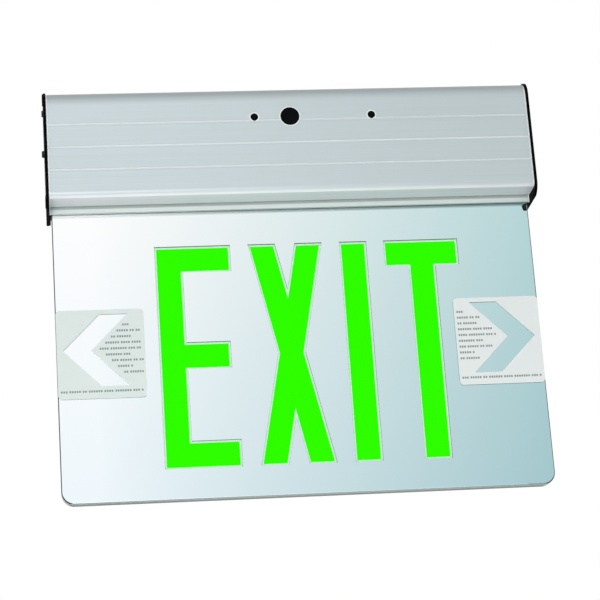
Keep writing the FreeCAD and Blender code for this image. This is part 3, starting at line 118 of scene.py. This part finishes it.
class Graph:
    # node tree of a new material or world
    def __init__(self, owner):
        owner.use_nodes = True
        self.owner = owner
        self.tree = owner.node_tree
        self.tree.nodes.clear()

    def add(self, kind, settings=None, sockets=None, output=0):
        # settings first, then values and links; a closing node has no output to give
        node = self.tree.nodes.new(kind)
        for name, setting in (settings or {}).items():
            setattr(node, name, setting)
        for key, value in (sockets or {}).items():
            if isinstance(value, Signal):
                self.tree.links.new(value.socket, node.inputs[key])
            else:
                node.inputs[key].default_value = value
        return Signal(self, node.outputs[output]) if node.outputs else None


class Finish(Graph):
    # material whose patterns lie in the object's own coordinates
    def __init__(self, name):
        super().__init__(bpy.data.materials.new(name))
        self.place = self.add("ShaderNodeTexCoord", output="Object")
        self.x, self.y, self.z = (
            self.add("ShaderNodeSeparateXYZ", sockets={0: self.place}, output=axis) for axis in range(3))

    def noise(self, scale, detail):
        # scale is one number, or one for each axis
        scales = scale if isinstance(scale, tuple) else (scale, scale, scale)
        place = self.add("ShaderNodeVectorMath", {"operation": "MULTIPLY"}, {0: self.place, 1: scales})
        sockets = {"Vector": place, "Scale": 1.0, "Detail": detail, "Roughness": 0.55}
        return self.add("ShaderNodeTexNoise", sockets=sockets)

    def speckle(self, scale):
        # raised grains of a moulded or coated surface
        return self.add("ShaderNodeTexVoronoi", sockets={"Vector": self.place, "Scale": scale})

    def ring(self, centre, inner, outer, soft):
        # band round an axis along Y, between two radii
        across, up = self.x - centre.x, self.z - centre.z
        radius = (across * across + up * up) ** 0.5
        return radius.rise(inner - soft, inner) * radius.rise(outer + soft, outer)

    def tint(self, factor, low, high):
        # low and high are screen colours or earlier tints
        low, high = (part if isinstance(part, Signal) else rgb(*part) for part in (low, high))
        sockets = {0: factor, 6: low, 7: high}
        return self.add("ShaderNodeMix", {"data_type": "RGBA"}, sockets, output=2)

    def bump(self, height, distance, strength):
        sockets = {"Height": height, "Distance": distance, "Strength": strength}
        return self.add("ShaderNodeBump", sockets=sockets)

    def surface(self, **sockets):
        named = {name.replace("_", " "): value for name, value in sockets.items()}
        return self.add("ShaderNodeBsdfPrincipled", sockets=named)

    def close(self, shader):
        self.add("ShaderNodeOutputMaterial", sockets={0: shader})
        return self.owner

    def paint(self, **sockets):
        return self.close(self.surface(**sockets))


# satin anodised extrusion: drawn lines along X, cut ends and hole rims left bright
# a blend starts at its first number and is full at its second, from the place that the note names
extrusion = {
    "left": (203, 214, 217), "right": (191, 203, 205), "bright": (246, 250, 250),
    "dull": (171.9, 182.7, 184.5), "crest": (166, 176, 177), "nose": (238, 236, 241),
    "belly": (212, 217, 219), "lip": (221, 230, 226), "slot": (170, 180, 175), "root": (138, 151, 151),
    "metal": 0.2, "roughness": 0.45, "roughSpread": 0.14, "lineDepth": 0.00002,
    "lines": (3.0, 1500.0, 1500.0), "lineBlend": (0.45, 0.8), "lineMix": 0.3,
    "clouds": (4.0, 22.0, 22.0), "cloudBlend": (0.5, 0.8), "cloudMix": 0.12,
    "crestBlend": (-0.0122, -0.004),                                    # from the top
    "lipHeight": 0.005,                                                 # the lip's foot to the underside
    "noseBlend": (0.0027, 0.0002), "bellyBlend": (0.0003, 0.0001),      # from the underside
    "lipBlend": (-0.0002, -0.0005), "slotFloor": (-0.0021, -0.0013), "slotRoof": (0.0014, 0.0012),
    "noseDepth": (0.006, 0.005), "slotFront": (0.0186, 0.0191),         # from the front
    "slotBack": (0.021, 0.0205), "grooveFace": (0.0008, 0.0006), "rimFace": (0.0008, 0.0003),
    "footBlend": (0.0007, 0.0002),                                      # from the lip's foot
    "grooveCount": 3, "firstGroove": 0.0258, "groovePitch": 0.0164,     # from the top
    "rootBlend": (0.00156, 0.00084), "flankBlend": (0.00072, 0.00048),  # from a groove's middle
    "rootMix": 0.2, "flankMix": 0.7,
    "endBlend": (-0.0009, -0.0007),                                     # from the ends
    "rimGaps": {"test_button": -0.0012, "charge_lamp": 0.0002, "status_lamp": 0.0002},
    "rimWidth": 0.0005, "rimSoft": 0.0003, "brightMix": 0.9}


def anodised():
    graph = Finish("satin anodised aluminium")
    low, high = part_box("housing")
    underside = low.z + extrusion["lipHeight"]
    streaks = graph.noise(extrusion["lines"], detail=4.0)
    clouds = graph.noise(extrusion["clouds"], detail=2.0)
    # painted shade: the face is painted lighter at its left end and darker towards its right end
    colour = graph.tint(graph.x.rise(low.x, high.x), extrusion["left"], extrusion["right"])
    # painted shade: the rounded top is painted darker, as it faces away from the low lamps
    colour = graph.tint(graph.z.past(high.z, extrusion["crestBlend"]), colour, extrusion["crest"])
    # painted highlight: the rounding under the front face is painted brightest at its lower end, where
    # the flat underside begins
    nose = graph.z.past(underside, extrusion["noseBlend"]) * graph.y.past(low.y, extrusion["noseDepth"])
    colour = graph.tint(nose, colour, extrusion["nose"])
    # painted light: the flat underside is painted a paler, bluer tone that offsets its shade and the
    # green light it gets from the letters
    colour = graph.tint(graph.z.past(underside, extrusion["bellyBlend"]), colour, extrusion["belly"])
    # painted highlight: the lip in front of the panel is painted paler
    colour = graph.tint(graph.z.past(underside, extrusion["lipBlend"]), colour, extrusion["lip"])
    # the groove at the lip's root and the lip's lowest edge lie in shade
    slot = graph.z.past(underside, extrusion["slotFloor"])
    slot = slot * graph.z.past(underside, extrusion["slotRoof"])
    slot = slot * graph.y.past(low.y, extrusion["slotFront"])
    slot = slot * graph.y.past(low.y, extrusion["slotBack"])
    slot = slot.most(graph.z.past(low.z, extrusion["footBlend"]))
    colour = graph.tint(slot, colour, extrusion["slot"])
    # painted shade and painted highlight at each groove: a darker band round it and a bright line along
    # its middle
    face = graph.y.past(low.y, extrusion["grooveFace"])
    for number in range(extrusion["grooveCount"]):
        level = high.z - extrusion["firstGroove"] - number * extrusion["groovePitch"]
        offset = abs(graph.z - level)
        root = offset.rise(*extrusion["rootBlend"]) * face * extrusion["rootMix"]
        flank = offset.rise(*extrusion["flankBlend"]) * face * extrusion["flankMix"]
        colour = graph.tint(root, colour, extrusion["root"])
        colour = graph.tint(flank, colour, extrusion["bright"])
    dull = streaks.rise(*extrusion["lineBlend"]) * extrusion["lineMix"]
    dull = dull + clouds.rise(*extrusion["cloudBlend"]) * extrusion["cloudMix"]
    colour = graph.tint(dull, colour, extrusion["dull"])
    bright = abs(graph.x).past(high.x, extrusion["endBlend"])
    for node, gap in extrusion["rimGaps"].items():
        centre = middleOf(node)
        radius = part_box(node)[1].x - centre.x + gap
        rim = graph.ring(centre, radius, radius + extrusion["rimWidth"], extrusion["rimSoft"])
        bright = bright.most(rim * graph.y.past(low.y, extrusion["rimFace"]))
    colour = graph.tint(bright * extrusion["brightMix"], colour, extrusion["bright"])
    return graph.paint(Base_Color=colour, Metallic=extrusion["metal"],
                       Roughness=streaks.about(extrusion["roughness"], extrusion["roughSpread"]),
                       Normal=graph.bump(streaks, extrusion["lineDepth"], strength=0.5))


# mirror-coated acrylic: painted reflection, a cool gradient that deepens to the right and downwards,
# green-grey cut edges
mirrorSheet = {
    "topLeft": (255, 254, 254), "topRight": (185, 215, 216), "lowLeft": (238, 247, 252),
    "lowRight": (163, 199, 204), "start": 0.08, "footCurve": 0.8,
    "shade": (120, 140, 140), "shadeDrop": 0.0014, "shadeBlend": (0.0014, 0.0004), "shadeMix": 0.3,
    "haze": 9.0, "hazeRough": 0.02, "hazeDepth": 0.00004,
    "wipes": (140.0, 140.0, 14.0), "wipeRough": 0.015, "leastRough": 0.01,
    "side": (70, 80, 78), "wall": (40, 50, 45), "rim": (140, 152, 147), "saw": (190, 205, 196),
    "grain": (400.0, 900.0, 400.0), "grainMix": 0.12, "grainDepth": 0.00002, "cutRough": 0.25,
    "edge": (0.0008, 0.0004), "coat": (0.00012, 0.00006)}       # from the outline, from the front


def mirrorCoat():
    graph = Finish("mirror-coated acrylic")
    low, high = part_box("mirror_face")
    # painted reflection: the coat runs from white at the top left to cool blue-grey at the right and foot
    along = (graph.x - low.x) / (high.x - low.x)
    down = (high.z - graph.z) / (high.z - low.z)
    ramp = ((along - mirrorSheet["start"]) / (1 - mirrorSheet["start"])).most(0)
    top = graph.tint(ramp, mirrorSheet["topLeft"], mirrorSheet["topRight"])
    curve = ramp ** mirrorSheet["footCurve"]
    foot = graph.tint(curve, mirrorSheet["lowLeft"], mirrorSheet["lowRight"])
    colour = graph.tint(down, top, foot)
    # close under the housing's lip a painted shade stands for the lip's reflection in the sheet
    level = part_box("housing")[0].z - mirrorSheet["shadeDrop"]
    shade = abs(graph.z - level).rise(*mirrorSheet["shadeBlend"])
    colour = graph.tint(shade * mirrorSheet["shadeMix"], colour, mirrorSheet["shade"])
    haze = graph.noise(mirrorSheet["haze"], detail=3.0)
    wipes = graph.noise(mirrorSheet["wipes"], detail=2.0)
    rough = haze * mirrorSheet["hazeRough"] + wipes * mirrorSheet["wipeRough"] + mirrorSheet["leastRough"]
    coat = graph.surface(Base_Color=colour, Metallic=1.0, Roughness=rough,
                         Normal=graph.bump(haze, mirrorSheet["hazeDepth"], strength=0.15))
    # cut edges: dark window walls, a paler foot, darker sides
    grain = graph.noise(mirrorSheet["grain"], detail=2.0)
    start, end = mirrorSheet["edge"]
    side = abs(graph.x).rise(high.x - start, high.x - end)
    outer = side.most(graph.z.past(low.z, mirrorSheet["edge"]))
    cut = graph.tint(outer, mirrorSheet["wall"], mirrorSheet["rim"])
    cut = graph.tint(side, cut, mirrorSheet["side"])
    cut = graph.tint(grain * mirrorSheet["grainMix"], cut, mirrorSheet["saw"])
    edge = graph.surface(Base_Color=cut, Roughness=mirrorSheet["cutRough"],
                         Normal=graph.bump(grain, mirrorSheet["grainDepth"], strength=1.0))
    face = graph.y.past(low.y, mirrorSheet["coat"])
    return graph.close(graph.add("ShaderNodeMixShader", sockets={0: face, 1: edge, 2: coat}))


# clear sheet that carries the light: pale on its faces, its front face glowing partly with the light it
# carries and partly with painted light that lifts the shaded margins beside the letters, green-grey at
# its sawn outer edges
guideSheet = {
    "tint": (226, 240, 232), "marked": (188, 208, 197), "rim": (138, 149, 145),
    "bevel": (112, 122, 118), "glow": (104, 132, 114), "through": 0.15, "index": 1.49,
    "roughness": 0.08, "roughSpread": 0.04,
    "marks": (60.0, 700.0, 60.0), "markMix": 0.2, "markDepth": 0.00001,
    "dotPitch": 0.002, "dotMix": 0.1,
    "rimBlend": (0.0001, 0.0003), "bevelBlend": (-0.0012, -0.0008)}  # from the front, from the back


def clearAcrylic():
    graph = Finish("clear light guide acrylic")
    low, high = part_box("light_guide")
    marks = graph.noise(guideSheet["marks"], detail=3.0)
    dots = graph.x.wave(guideSheet["dotPitch"]) * graph.z.wave(guideSheet["dotPitch"])
    rim = graph.y.past(low.y, guideSheet["rimBlend"])
    bevel = rim * graph.y.past(high.y, guideSheet["bevelBlend"])
    worn = marks * guideSheet["markMix"] + dots * guideSheet["dotMix"]
    colour = graph.tint(worn, guideSheet["tint"], guideSheet["marked"])
    colour = graph.tint(rim, colour, guideSheet["rim"])
    colour = graph.tint(bevel, colour, guideSheet["bevel"])
    # the front face's glow is partly painted light that lifts the shade in the letters' windows
    return graph.paint(Base_Color=colour, IOR=guideSheet["index"],
                       Transmission_Weight=guideSheet["through"], Emission_Strength=1.0,
                       Emission_Color=graph.tint(rim, guideSheet["glow"], (0, 0, 0)),
                       Roughness=marks.about(guideSheet["roughness"], guideSheet["roughSpread"]),
                       Normal=graph.bump(marks, guideSheet["markDepth"], strength=0.3))


# lit green legend film
legend = {
    "glow": (46, 253, 0), "dim": (40, 243, 0), "strength": 1.0, "body": (2, 40, 0), "grain": (1, 28, 0),
    "cells": 900.0, "cellMix": 0.1, "cellDepth": 0.00001, "clouds": (30.0, 30.0, 12.0), "cloudMix": 0.1,
    "roughness": 0.5, "shine": 0.0}


def litGreen():
    graph = Finish("lit green legend film")
    cells = graph.noise(legend["cells"], detail=1.0)
    clouds = graph.noise(legend["clouds"], detail=2.0)
    uneven = cells * legend["cellMix"] + clouds * legend["cloudMix"]
    return graph.paint(Base_Color=graph.tint(cells, legend["body"], legend["grain"]),
                       Roughness=legend["roughness"], Specular_IOR_Level=legend["shine"],
                       Emission_Color=graph.tint(uneven, legend["glow"], legend["dim"]),
                       Emission_Strength=legend["strength"],
                       Normal=graph.bump(cells, legend["cellDepth"], strength=0.2))


# pale template sheet, satin, with a faint calendered grain
templateSheet = {
    "left": (224, 234, 230), "right": (236, 241, 239), "shade": (205, 216, 212), "cut": (24, 28, 27),
    "rightCut": (128, 143, 138), "sides": (-0.02, 0.02), "roughness": 0.45, "roughSpread": 0.1,
    "grain": 700.0, "grainMix": 0.1, "grainDepth": 0.00001, "clouds": 25.0, "cloudMix": 0.12,
    "cutBlend": (0.00006, 0.0001)}  # from the sheet's front


def paleSheet():
    graph = Finish("pale satin template sheet")
    grain = graph.noise(templateSheet["grain"], detail=2.0)
    clouds = graph.noise(templateSheet["clouds"], detail=2.0)
    # painted light: the right-hand sheet is painted paler than the left to make up for the lesser light
    # it gets
    side = graph.x.rise(*templateSheet["sides"])
    colour = graph.tint(side, templateSheet["left"], templateSheet["right"])
    uneven = grain * templateSheet["grainMix"] + clouds * templateSheet["cloudMix"]
    colour = graph.tint(uneven, colour, templateSheet["shade"])
    # painted shade: the sheet's cut edges are painted near-black on the left and grey on the right,
    # standing for their shadow lines
    cut = graph.tint(side, templateSheet["cut"], templateSheet["rightCut"])
    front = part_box("chevron_template_left")[0].y
    colour = graph.tint(graph.y.past(front, templateSheet["cutBlend"]), colour, cut)
    return graph.paint(Base_Color=colour,
                       Roughness=grain.about(templateSheet["roughness"], templateSheet["roughSpread"]),
                       Normal=graph.bump(grain, templateSheet["grainDepth"], strength=0.4))


# moulded or painted surface: two tones, fine grain and a little unevenness in its gloss
coating = {"clouds": 35.0, "toneBlend": (0.35, 0.75), "roughSpread": 0.12}


def coated(name, body, shade, roughness, grains, depth, shine=0.5):
    graph = Finish(name)
    grain = graph.speckle(grains)
    clouds = graph.noise(coating["clouds"], detail=3.0)
    return graph.paint(Base_Color=graph.tint(clouds.rise(*coating["toneBlend"]), body, shade),
                       Roughness=clouds.about(roughness, coating["roughSpread"]),
                       Specular_IOR_Level=shine, Normal=graph.bump(grain, depth, strength=0.35))


# drawn or plated steel
steel = {"patches": 120.0, "patchMix": 0.3, "lineMix": 0.5, "metal": 0.9, "roughSpread": 0.15,
         "lineDepth": 0.00001, "alongX": (30.0, 1400.0, 1400.0), "alongY": (900.0, 60.0, 900.0)}


def brushed(name, body, shade, roughness, direction):
    graph = Finish(name)
    lines = graph.noise(steel[direction], detail=3.0)
    patches = graph.noise(steel["patches"], detail=2.0)
    uneven = lines * steel["lineMix"] + patches * steel["patchMix"]
    return graph.paint(Base_Color=graph.tint(uneven, body, shade), Metallic=steel["metal"],
                       Roughness=lines.about(roughness, steel["roughSpread"]),
                       Normal=graph.bump(lines, steel["lineDepth"], strength=0.4))


# circuit boards: solder mask with tracks on a grid and drilled pads
board = {
    "mask": (22, 88, 50), "track": (40, 118, 68), "whiteMask": (232, 232, 226),
    "whiteTrack": (214, 214, 206), "pad": (196, 168, 96), "pitch": 0.00254, "layout": 160.0,
    "trackBlendX": (0.8, 0.9), "trackBlendZ": (0.82, 0.92), "trackCells": (0.42, 0.5),
    "padBlend": (0.9, 0.95), "padCells": (0.55, 0.6),
    "roughness": 0.35, "padRough": 0.1, "padMetal": 0.7, "trackDepth": 0.00003}


def circuitBoard(name, mask, track):
    graph = Finish(name)
    pitch = board["pitch"]
    cells = graph.noise(board["layout"], detail=0.0)
    upright = graph.x.wave(pitch * 2).rise(*board["trackBlendX"])
    level = graph.z.wave(pitch * 3).rise(*board["trackBlendZ"])
    lines = upright.most(level) * cells.rise(*board["trackCells"])
    pads = (graph.x.wave(pitch) * graph.z.wave(pitch)).rise(*board["padBlend"])
    pads = pads * cells.rise(*board["padCells"])
    colour = graph.tint(lines, mask, track)
    colour = graph.tint(pads, colour, board["pad"])
    return graph.paint(Base_Color=colour, Roughness=board["roughness"] - pads * board["padRough"],
                       Metallic=pads * board["padMetal"],
                       Normal=graph.bump(lines + pads, board["trackDepth"], strength=0.5))


# wound tape and laminations of the transformer
transformer = {
    "tape": (205, 160, 60), "seam": (150, 105, 30), "turn": 0.0031, "seamBlend": (0.82, 0.97),
    "seamMix": 0.8, "crinkle": (300.0, 300.0, 90.0), "crinkleMix": 0.15, "crinkleHeight": 0.4,
    "tapeRough": 0.3, "tapeSpread": 0.1, "tapeDepth": 0.00008,
    "steel": (120, 122, 124), "gap": (62, 60, 58), "sheet": 0.0005, "gapBlend": (0.7, 0.9), "gapMix": 0.7,
    "varnish": 90.0, "varnishMix": 0.2, "metal": 0.6, "steelRough": 0.45, "steelSpread": 0.2,
    "sheetDepth": 0.00005}


def coilTape():
    graph = Finish("wound coil tape")
    wraps = graph.z.wave(transformer["turn"]).rise(*transformer["seamBlend"])
    crinkle = graph.noise(transformer["crinkle"], detail=3.0)
    worn = wraps * transformer["seamMix"] + crinkle * transformer["crinkleMix"]
    height = wraps + crinkle * transformer["crinkleHeight"]
    return graph.paint(Base_Color=graph.tint(worn, transformer["tape"], transformer["seam"]),
                       Roughness=crinkle.about(transformer["tapeRough"], transformer["tapeSpread"]),
                       Normal=graph.bump(height, transformer["tapeDepth"], strength=0.6))


def laminations():
    graph = Finish("varnished laminations")
    sheets = graph.y.wave(transformer["sheet"]).rise(*transformer["gapBlend"])
    varnish = graph.noise(transformer["varnish"], detail=3.0)
    dark = sheets * transformer["gapMix"] + varnish * transformer["varnishMix"]
    return graph.paint(Base_Color=graph.tint(dark, transformer["steel"], transformer["gap"]),
                       Metallic=transformer["metal"],
                       Roughness=varnish.about(transformer["steelRough"], transformer["steelSpread"]),
                       Normal=graph.bump(sheets, transformer["sheetDepth"], strength=0.5))


# battery sleeve: shrunk film with a seam between cells
sleeve = {
    "film": (214, 186, 40), "seam": (150, 126, 22), "cells": 3, "seamBlend": (0.06, 0.0), "seamMix": 0.8,
    "ripple": (220.0, 40.0, 40.0), "rippleMix": 0.2, "rippleHeight": 0.3, "roughness": 0.28,
    "roughSpread": 0.12, "depth": 0.0002}


def shrinkSleeve():
    graph = Finish("shrunk battery sleeve")
    low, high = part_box("battery_pack")
    pitch = (high.x - low.x) / sleeve["cells"]
    seams = (graph.x - low.x).wave(pitch).rise(*sleeve["seamBlend"])
    ripple = graph.noise(sleeve["ripple"], detail=3.0)
    dark = seams * sleeve["seamMix"] + ripple * sleeve["rippleMix"]
    height = 1 - seams + ripple * sleeve["rippleHeight"]
    return graph.paint(Base_Color=graph.tint(dark, sleeve["film"], sleeve["seam"]),
                       Roughness=ripple.about(sleeve["roughness"], sleeve["roughSpread"]),
                       Normal=graph.bump(height, sleeve["depth"], strength=0.6))


# smoked lenses of the two pilot lamps
lens = {"body": (4, 4, 5), "core": (12, 9, 9), "clouds": 500.0, "coreBlend": (0.4, 0.7),
        "roughness": 0.18, "roughSpread": 0.06, "shine": 0.05, "depth": 0.00002}


def smokedLens():
    graph = Finish("smoked lamp lens")
    clouds = graph.noise(lens["clouds"], detail=2.0)
    return graph.paint(Base_Color=graph.tint(clouds.rise(*lens["coreBlend"]), lens["body"], lens["core"]),
                       Roughness=clouds.about(lens["roughness"], lens["roughSpread"]),
                       Specular_IOR_Level=lens["shine"],
                       Normal=graph.bump(clouds, lens["depth"], strength=0.3))


# yellowish caps of the light-emitting diodes on the strip board
ledCap = {"pale": (238, 222, 150), "deep": (225, 205, 110), "patches": 600.0, "grains": 2500.0,
          "roughness": 0.25, "roughSpread": 0.1, "glow": 0.6, "depth": 0.00003}


def ledLens():
    graph = Finish("led lens")
    grains = graph.speckle(ledCap["grains"])
    patches = graph.noise(ledCap["patches"], detail=1.0)
    colour = graph.tint(patches, ledCap["pale"], ledCap["deep"])
    return graph.paint(Base_Color=colour, Emission_Color=colour, Emission_Strength=ledCap["glow"],
                       Roughness=patches.about(ledCap["roughness"], ledCap["roughSpread"]),
                       Normal=graph.bump(grains, ledCap["depth"], strength=0.4))


finishes = {
    "satin_aluminium": anodised(),
    "white_steel": coated("white powder coat", (222, 224, 222), (208, 211, 209),
                          roughness=0.45, grains=1400.0, depth=0.00006),
    "black_plastic": coated("black moulded plastic", (3, 3, 4), (7, 7, 8),
                            roughness=0.55, grains=1600.0, depth=0.00005, shine=0.02),
    "black_screws": coated("black oxide steel", (14, 14, 15), (26, 26, 28),
                           roughness=0.4, grains=2600.0, depth=0.00002, shine=0.3),
    "zinc_screws": brushed("bright zinc", (205, 208, 206), (168, 172, 172),
                           roughness=0.305, direction="alongX"),
    "mirror": mirrorCoat(),
    "clear_acrylic": clearAcrylic(),
    "white_film": coated("white reflector film", (240, 241, 238), (230, 232, 229),
                         roughness=0.4, grains=3000.0, depth=0.00001),
    "green_legend": litGreen(),
    "pale_sheet": paleSheet(),
    "white_board": circuitBoard("white strip board", board["whiteMask"], board["whiteTrack"]),
    "led_lens": ledLens(),
    "black_button": coated("smooth black button", (3, 5, 6), (7, 9, 11),
                           roughness=0.3, grains=3200.0, depth=0.00001, shine=0.04),
    "spring_wire": brushed("spring wire", (196, 197, 198), (150, 151, 153),
                           roughness=0.285, direction="alongY"),
    "lamp_lens": smokedLens(),
    "green_board": circuitBoard("green control board", board["mask"], board["track"]),
    "dark_components": coated("dark component cases", (42, 42, 46), (58, 58, 62),
                              roughness=0.45, grains=1800.0, depth=0.00003),
    "battery_sleeve": shrinkSleeve(),
    "core_steel": laminations(),
    "coil_tape": coilTape(),
    "ivory_plastic": coated("ivory terminal plastic", (226, 220, 200), (210, 202, 180),
                            roughness=0.35, grains=1800.0, depth=0.00003),
    "red_lead": coated("red lead insulation", (190, 30, 26), (150, 20, 18),
                       roughness=0.4, grains=2200.0, depth=0.00002),
    "grey_lead": coated("grey lead insulation", (120, 122, 124), (92, 94, 96),
                        roughness=0.4, grains=2200.0, depth=0.00002),
}
for subpart in record["subparts"]:
    for slot in nodes[subpart["node"]].material_slots:
        slot.material = finishes[subpart["material_slot"]]
print("finishes:", len(finishes))


def addPiece(name, shape, material, body="sign"):
    # turns a bmesh into a piece that rides on a body
    bmesh.ops.recalc_face_normals(shape, faces=shape.faces)
    mesh = bpy.data.meshes.new(name)
    shape.to_mesh(mesh)
    shape.free()
    piece = bpy.data.objects.new(name, mesh)
    scene.collection.objects.link(piece)
    mesh.materials.append(material)
    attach(piece, body)
    return piece


# print on the template sheets, reduced to plain blocks: rows beside the notch and one row at the foot
bars = {
    "ink": (112, 122, 120), "worn": (140, 150, 147), "wear": 900.0, "roughness": 0.55, "roughSpread": 0.1,
    "inkDepth": 0.00001,
    "tall": 0.0014, "wide": 0.0011, "thick": 0.00003, "space": 0.0005, "wordSpace": 0.0013,
    "words": (3, 5, 2, 6, 4, 7),                      # blocks in each word, over and over
    "pitch": 0.00413, "edge": 0.0019,                 # row to row, sheet's edge to first block
    "notch": 0.0231, "clear": 0.0056, "slope": 0.0039,  # the left rows keep clear of the notch's point
    "leftRise": 0.0035, "rightRise": 0.0044,          # the rows' middle above the sheet's middle
    "leftRows": (0.0052, 0.0165, 0.0145, 0.0248, 0.028, 0.017, 0.0215, 0.0114, 0.0145),
    "rightRows": (0.0048, 0.0164, 0.0134, 0.0239, 0.0269, 0.0167, 0.0229, 0.0114, 0.0139),
    "footRow": 0.0555, "footUp": 0.005}


def printInk():
    graph = Finish("grey printed ink")
    wear = graph.noise(bars["wear"], detail=2.0)
    return graph.paint(Base_Color=graph.tint(wear, bars["ink"], bars["worn"]),
                       Roughness=wear.about(bars["roughness"], bars["roughSpread"]),
                       Normal=graph.bump(wear, bars["inkDepth"], strength=0.3))


def blockRow(shape, start, up, front, length, turn):
    # plain blocks from left to right, grouped by the list of words from the given turn on
    size = Matrix.Diagonal((bars["wide"], bars["thick"], bars["tall"], 1))
    across, word, letter = 0.0, turn, 0
    while across + bars["wide"] <= length:
        middle = start + across + bars["wide"] / 2
        place = Matrix.Translation((middle, front - bars["thick"] / 2, up))
        bmesh.ops.create_cube(shape, size=1, matrix=place @ size)
        across += bars["wide"] + bars["space"]
        letter += 1
        if letter == bars["words"][word % len(bars["words"])]:
            across += bars["wordSpace"] - bars["space"]
            word, letter = word + 1, 0


def printBars(node, side, ink):
    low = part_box(node)[0]
    shape = bmesh.new()
    rows = bars[side + "Rows"]
    half = (len(rows) - 1) / 2
    middle = middleOf(node).z + bars[side + "Rise"]
    for number, length in enumerate(rows):
        start = low.x + bars["edge"]
        if side == "left":
            start = low.x + bars["notch"] + bars["clear"] + bars["slope"] * abs(number - half)
        blockRow(shape, start, middle + (half - number) * bars["pitch"], low.y, length, number)
    blockRow(shape, low.x + bars["edge"], low.z + bars["footUp"], low.y, bars["footRow"], 0)
    addPiece(node + "_print", shape, ink)


ink = printInk()
printBars("chevron_template_left", "left", ink)
printBars("chevron_template_right", "right", ink)
print("template print made")


# return spring of the button, which squeezes along Y as the button goes in; here a fixed coil of round
# wire that rides on the sign
spring = {"wire": 0.0003, "turns": 4, "steps": 24, "sides": 10, "keep": 0.7}


def addSpring():
    low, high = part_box("button_spring")
    centre = middleOf("button_spring")
    radius = (high.z - low.z) / 2 - spring["wire"]
    length = high.y - low.y - 2 * spring["wire"]
    shape = bmesh.new()
    foot = Matrix.Translation((centre.x + radius, high.y - spring["wire"], centre.z))
    bmesh.ops.create_circle(shape, cap_ends=False, radius=spring["wire"], segments=spring["sides"],
                            matrix=foot)
    edges = list(shape.edges)
    steps = spring["turns"] * spring["steps"]
    swept = bmesh.ops.spin(shape, geom=edges + list(shape.verts), cent=centre, axis=(0, 1, 0),
                           dvec=(0, -length / steps, 0), angle=math.tau * spring["turns"], steps=steps)
    last = [item for item in swept["geom_last"] if isinstance(item, bmesh.types.BMEdge)]
    for ends in (edges, last):
        bmesh.ops.edgeloop_fill(shape, edges=ends)
    for face in shape.faces:
        face.smooth = True
    coil = addPiece("smooth_spring", shape, finishes["spring_wire"])
    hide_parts("button_spring")
    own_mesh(coil)


addSpring()
print("spring wound")


# camera: below the sign and to its left, long lens, slightly rolled; angles in degrees
camera = {"place": (-0.1826, -1.4421, -0.5547), "turn": 7.37, "lift": 17.26, "roll": -4.05,
          "lens": 132.06, "sensor": 36, "reach": 20}


def addCamera():
    turn, lift, roll = (math.radians(camera[name]) for name in ("turn", "lift", "roll"))
    ahead = Vector((math.sin(turn) * math.cos(lift), math.cos(turn) * math.cos(lift), math.sin(lift)))
    level = Vector((math.cos(turn), -math.sin(turn), 0))
    upright = level.cross(ahead)
    right = math.cos(roll) * level + math.sin(roll) * upright
    up = math.cos(roll) * upright - math.sin(roll) * level
    aim = Matrix((right, up, -ahead)).transposed().to_4x4()
    eye = bpy.data.cameras.new("camera")
    eye.lens = camera["lens"]
    eye.sensor_width = camera["sensor"]
    eye.clip_end = camera["reach"]
    viewer = bpy.data.objects.new("camera", eye)
    viewer.matrix_world = Matrix.Translation(camera["place"]) @ aim
    scene.collection.objects.link(viewer)
    scene.camera = viewer


# studio: white surroundings, a broad lamp low in front, weak ones above and below, a pale floor
studio = {
    "ambient": (0.96, 0.98, 1.0, 1), "ambientStrength": 0.42, "white": (1, 1, 1, 1),
    "aim": (0, -0.03, -0.1), "floorLevel": -0.72, "floorSize": 6.0, "floor": (238.6, 238.6, 238.6),
    "floorGrain": (234.9, 234.9, 234.9), "grainScale": 40.0, "floorRough": 0.8}
lamps = {
    "low lamp": {"place": (-0.5, -1.9, -0.62), "size": 1.1, "power": 28.4},
    "high lamp": {"place": (0.4, -1.2, 1.6), "size": 1.4, "power": 3.0},
    "under lamp": {"place": (0.0, -0.1, -0.7), "size": 0.5, "power": 1.4}}


def addLamp(name):
    place = Vector(lamps[name]["place"])
    light = bpy.data.lights.new(name, "AREA")
    light.shape = "SQUARE"
    light.size = lamps[name]["size"]
    light.energy = lamps[name]["power"]
    lamp = bpy.data.objects.new(name, light)
    aim = (Vector(studio["aim"]) - place).to_track_quat("-Z", "Y")
    lamp.matrix_world = Matrix.Translation(place) @ aim.to_matrix().to_4x4()
    scene.collection.objects.link(lamp)


def addWorld():
    graph = Graph(bpy.data.worlds.new("studio"))
    seen, shiny, through = (graph.add("ShaderNodeLightPath", output=ray)
                            for ray in ("Is Camera Ray", "Is Glossy Ray", "Is Transmission Ray"))
    soft = {"Color": studio["ambient"], "Strength": studio["ambientStrength"]}
    white = {"Color": studio["white"], "Strength": 1.0}
    backdrop = graph.add("ShaderNodeMixShader", sockets={
        0: seen.most(shiny).most(through),
        1: graph.add("ShaderNodeBackground", sockets=soft),
        2: graph.add("ShaderNodeBackground", sockets=white)})
    graph.add("ShaderNodeOutputWorld", sockets={0: backdrop})
    scene.world = graph.owner


def addFloor():
    graph = Finish("pale floor")
    grain = graph.noise(studio["grainScale"], detail=2.0)
    material = graph.paint(Base_Color=graph.tint(grain, studio["floor"], studio["floorGrain"]),
                           Roughness=studio["floorRough"])
    shape = bmesh.new()
    bmesh.ops.create_grid(shape, x_segments=1, y_segments=1, size=studio["floorSize"] / 2,
                          matrix=Matrix.Translation((0, 0, studio["floorLevel"])))
    mesh = bpy.data.meshes.new("floor")
    shape.to_mesh(mesh)
    shape.free()
    mesh.materials.append(material)
    floor = bpy.data.objects.new("floor", mesh)
    scene.collection.objects.link(floor)


addCamera()
addWorld()
addFloor()
for name in lamps:
    addLamp(name)
scene.view_settings.view_transform = "Standard"
print("studio ready")
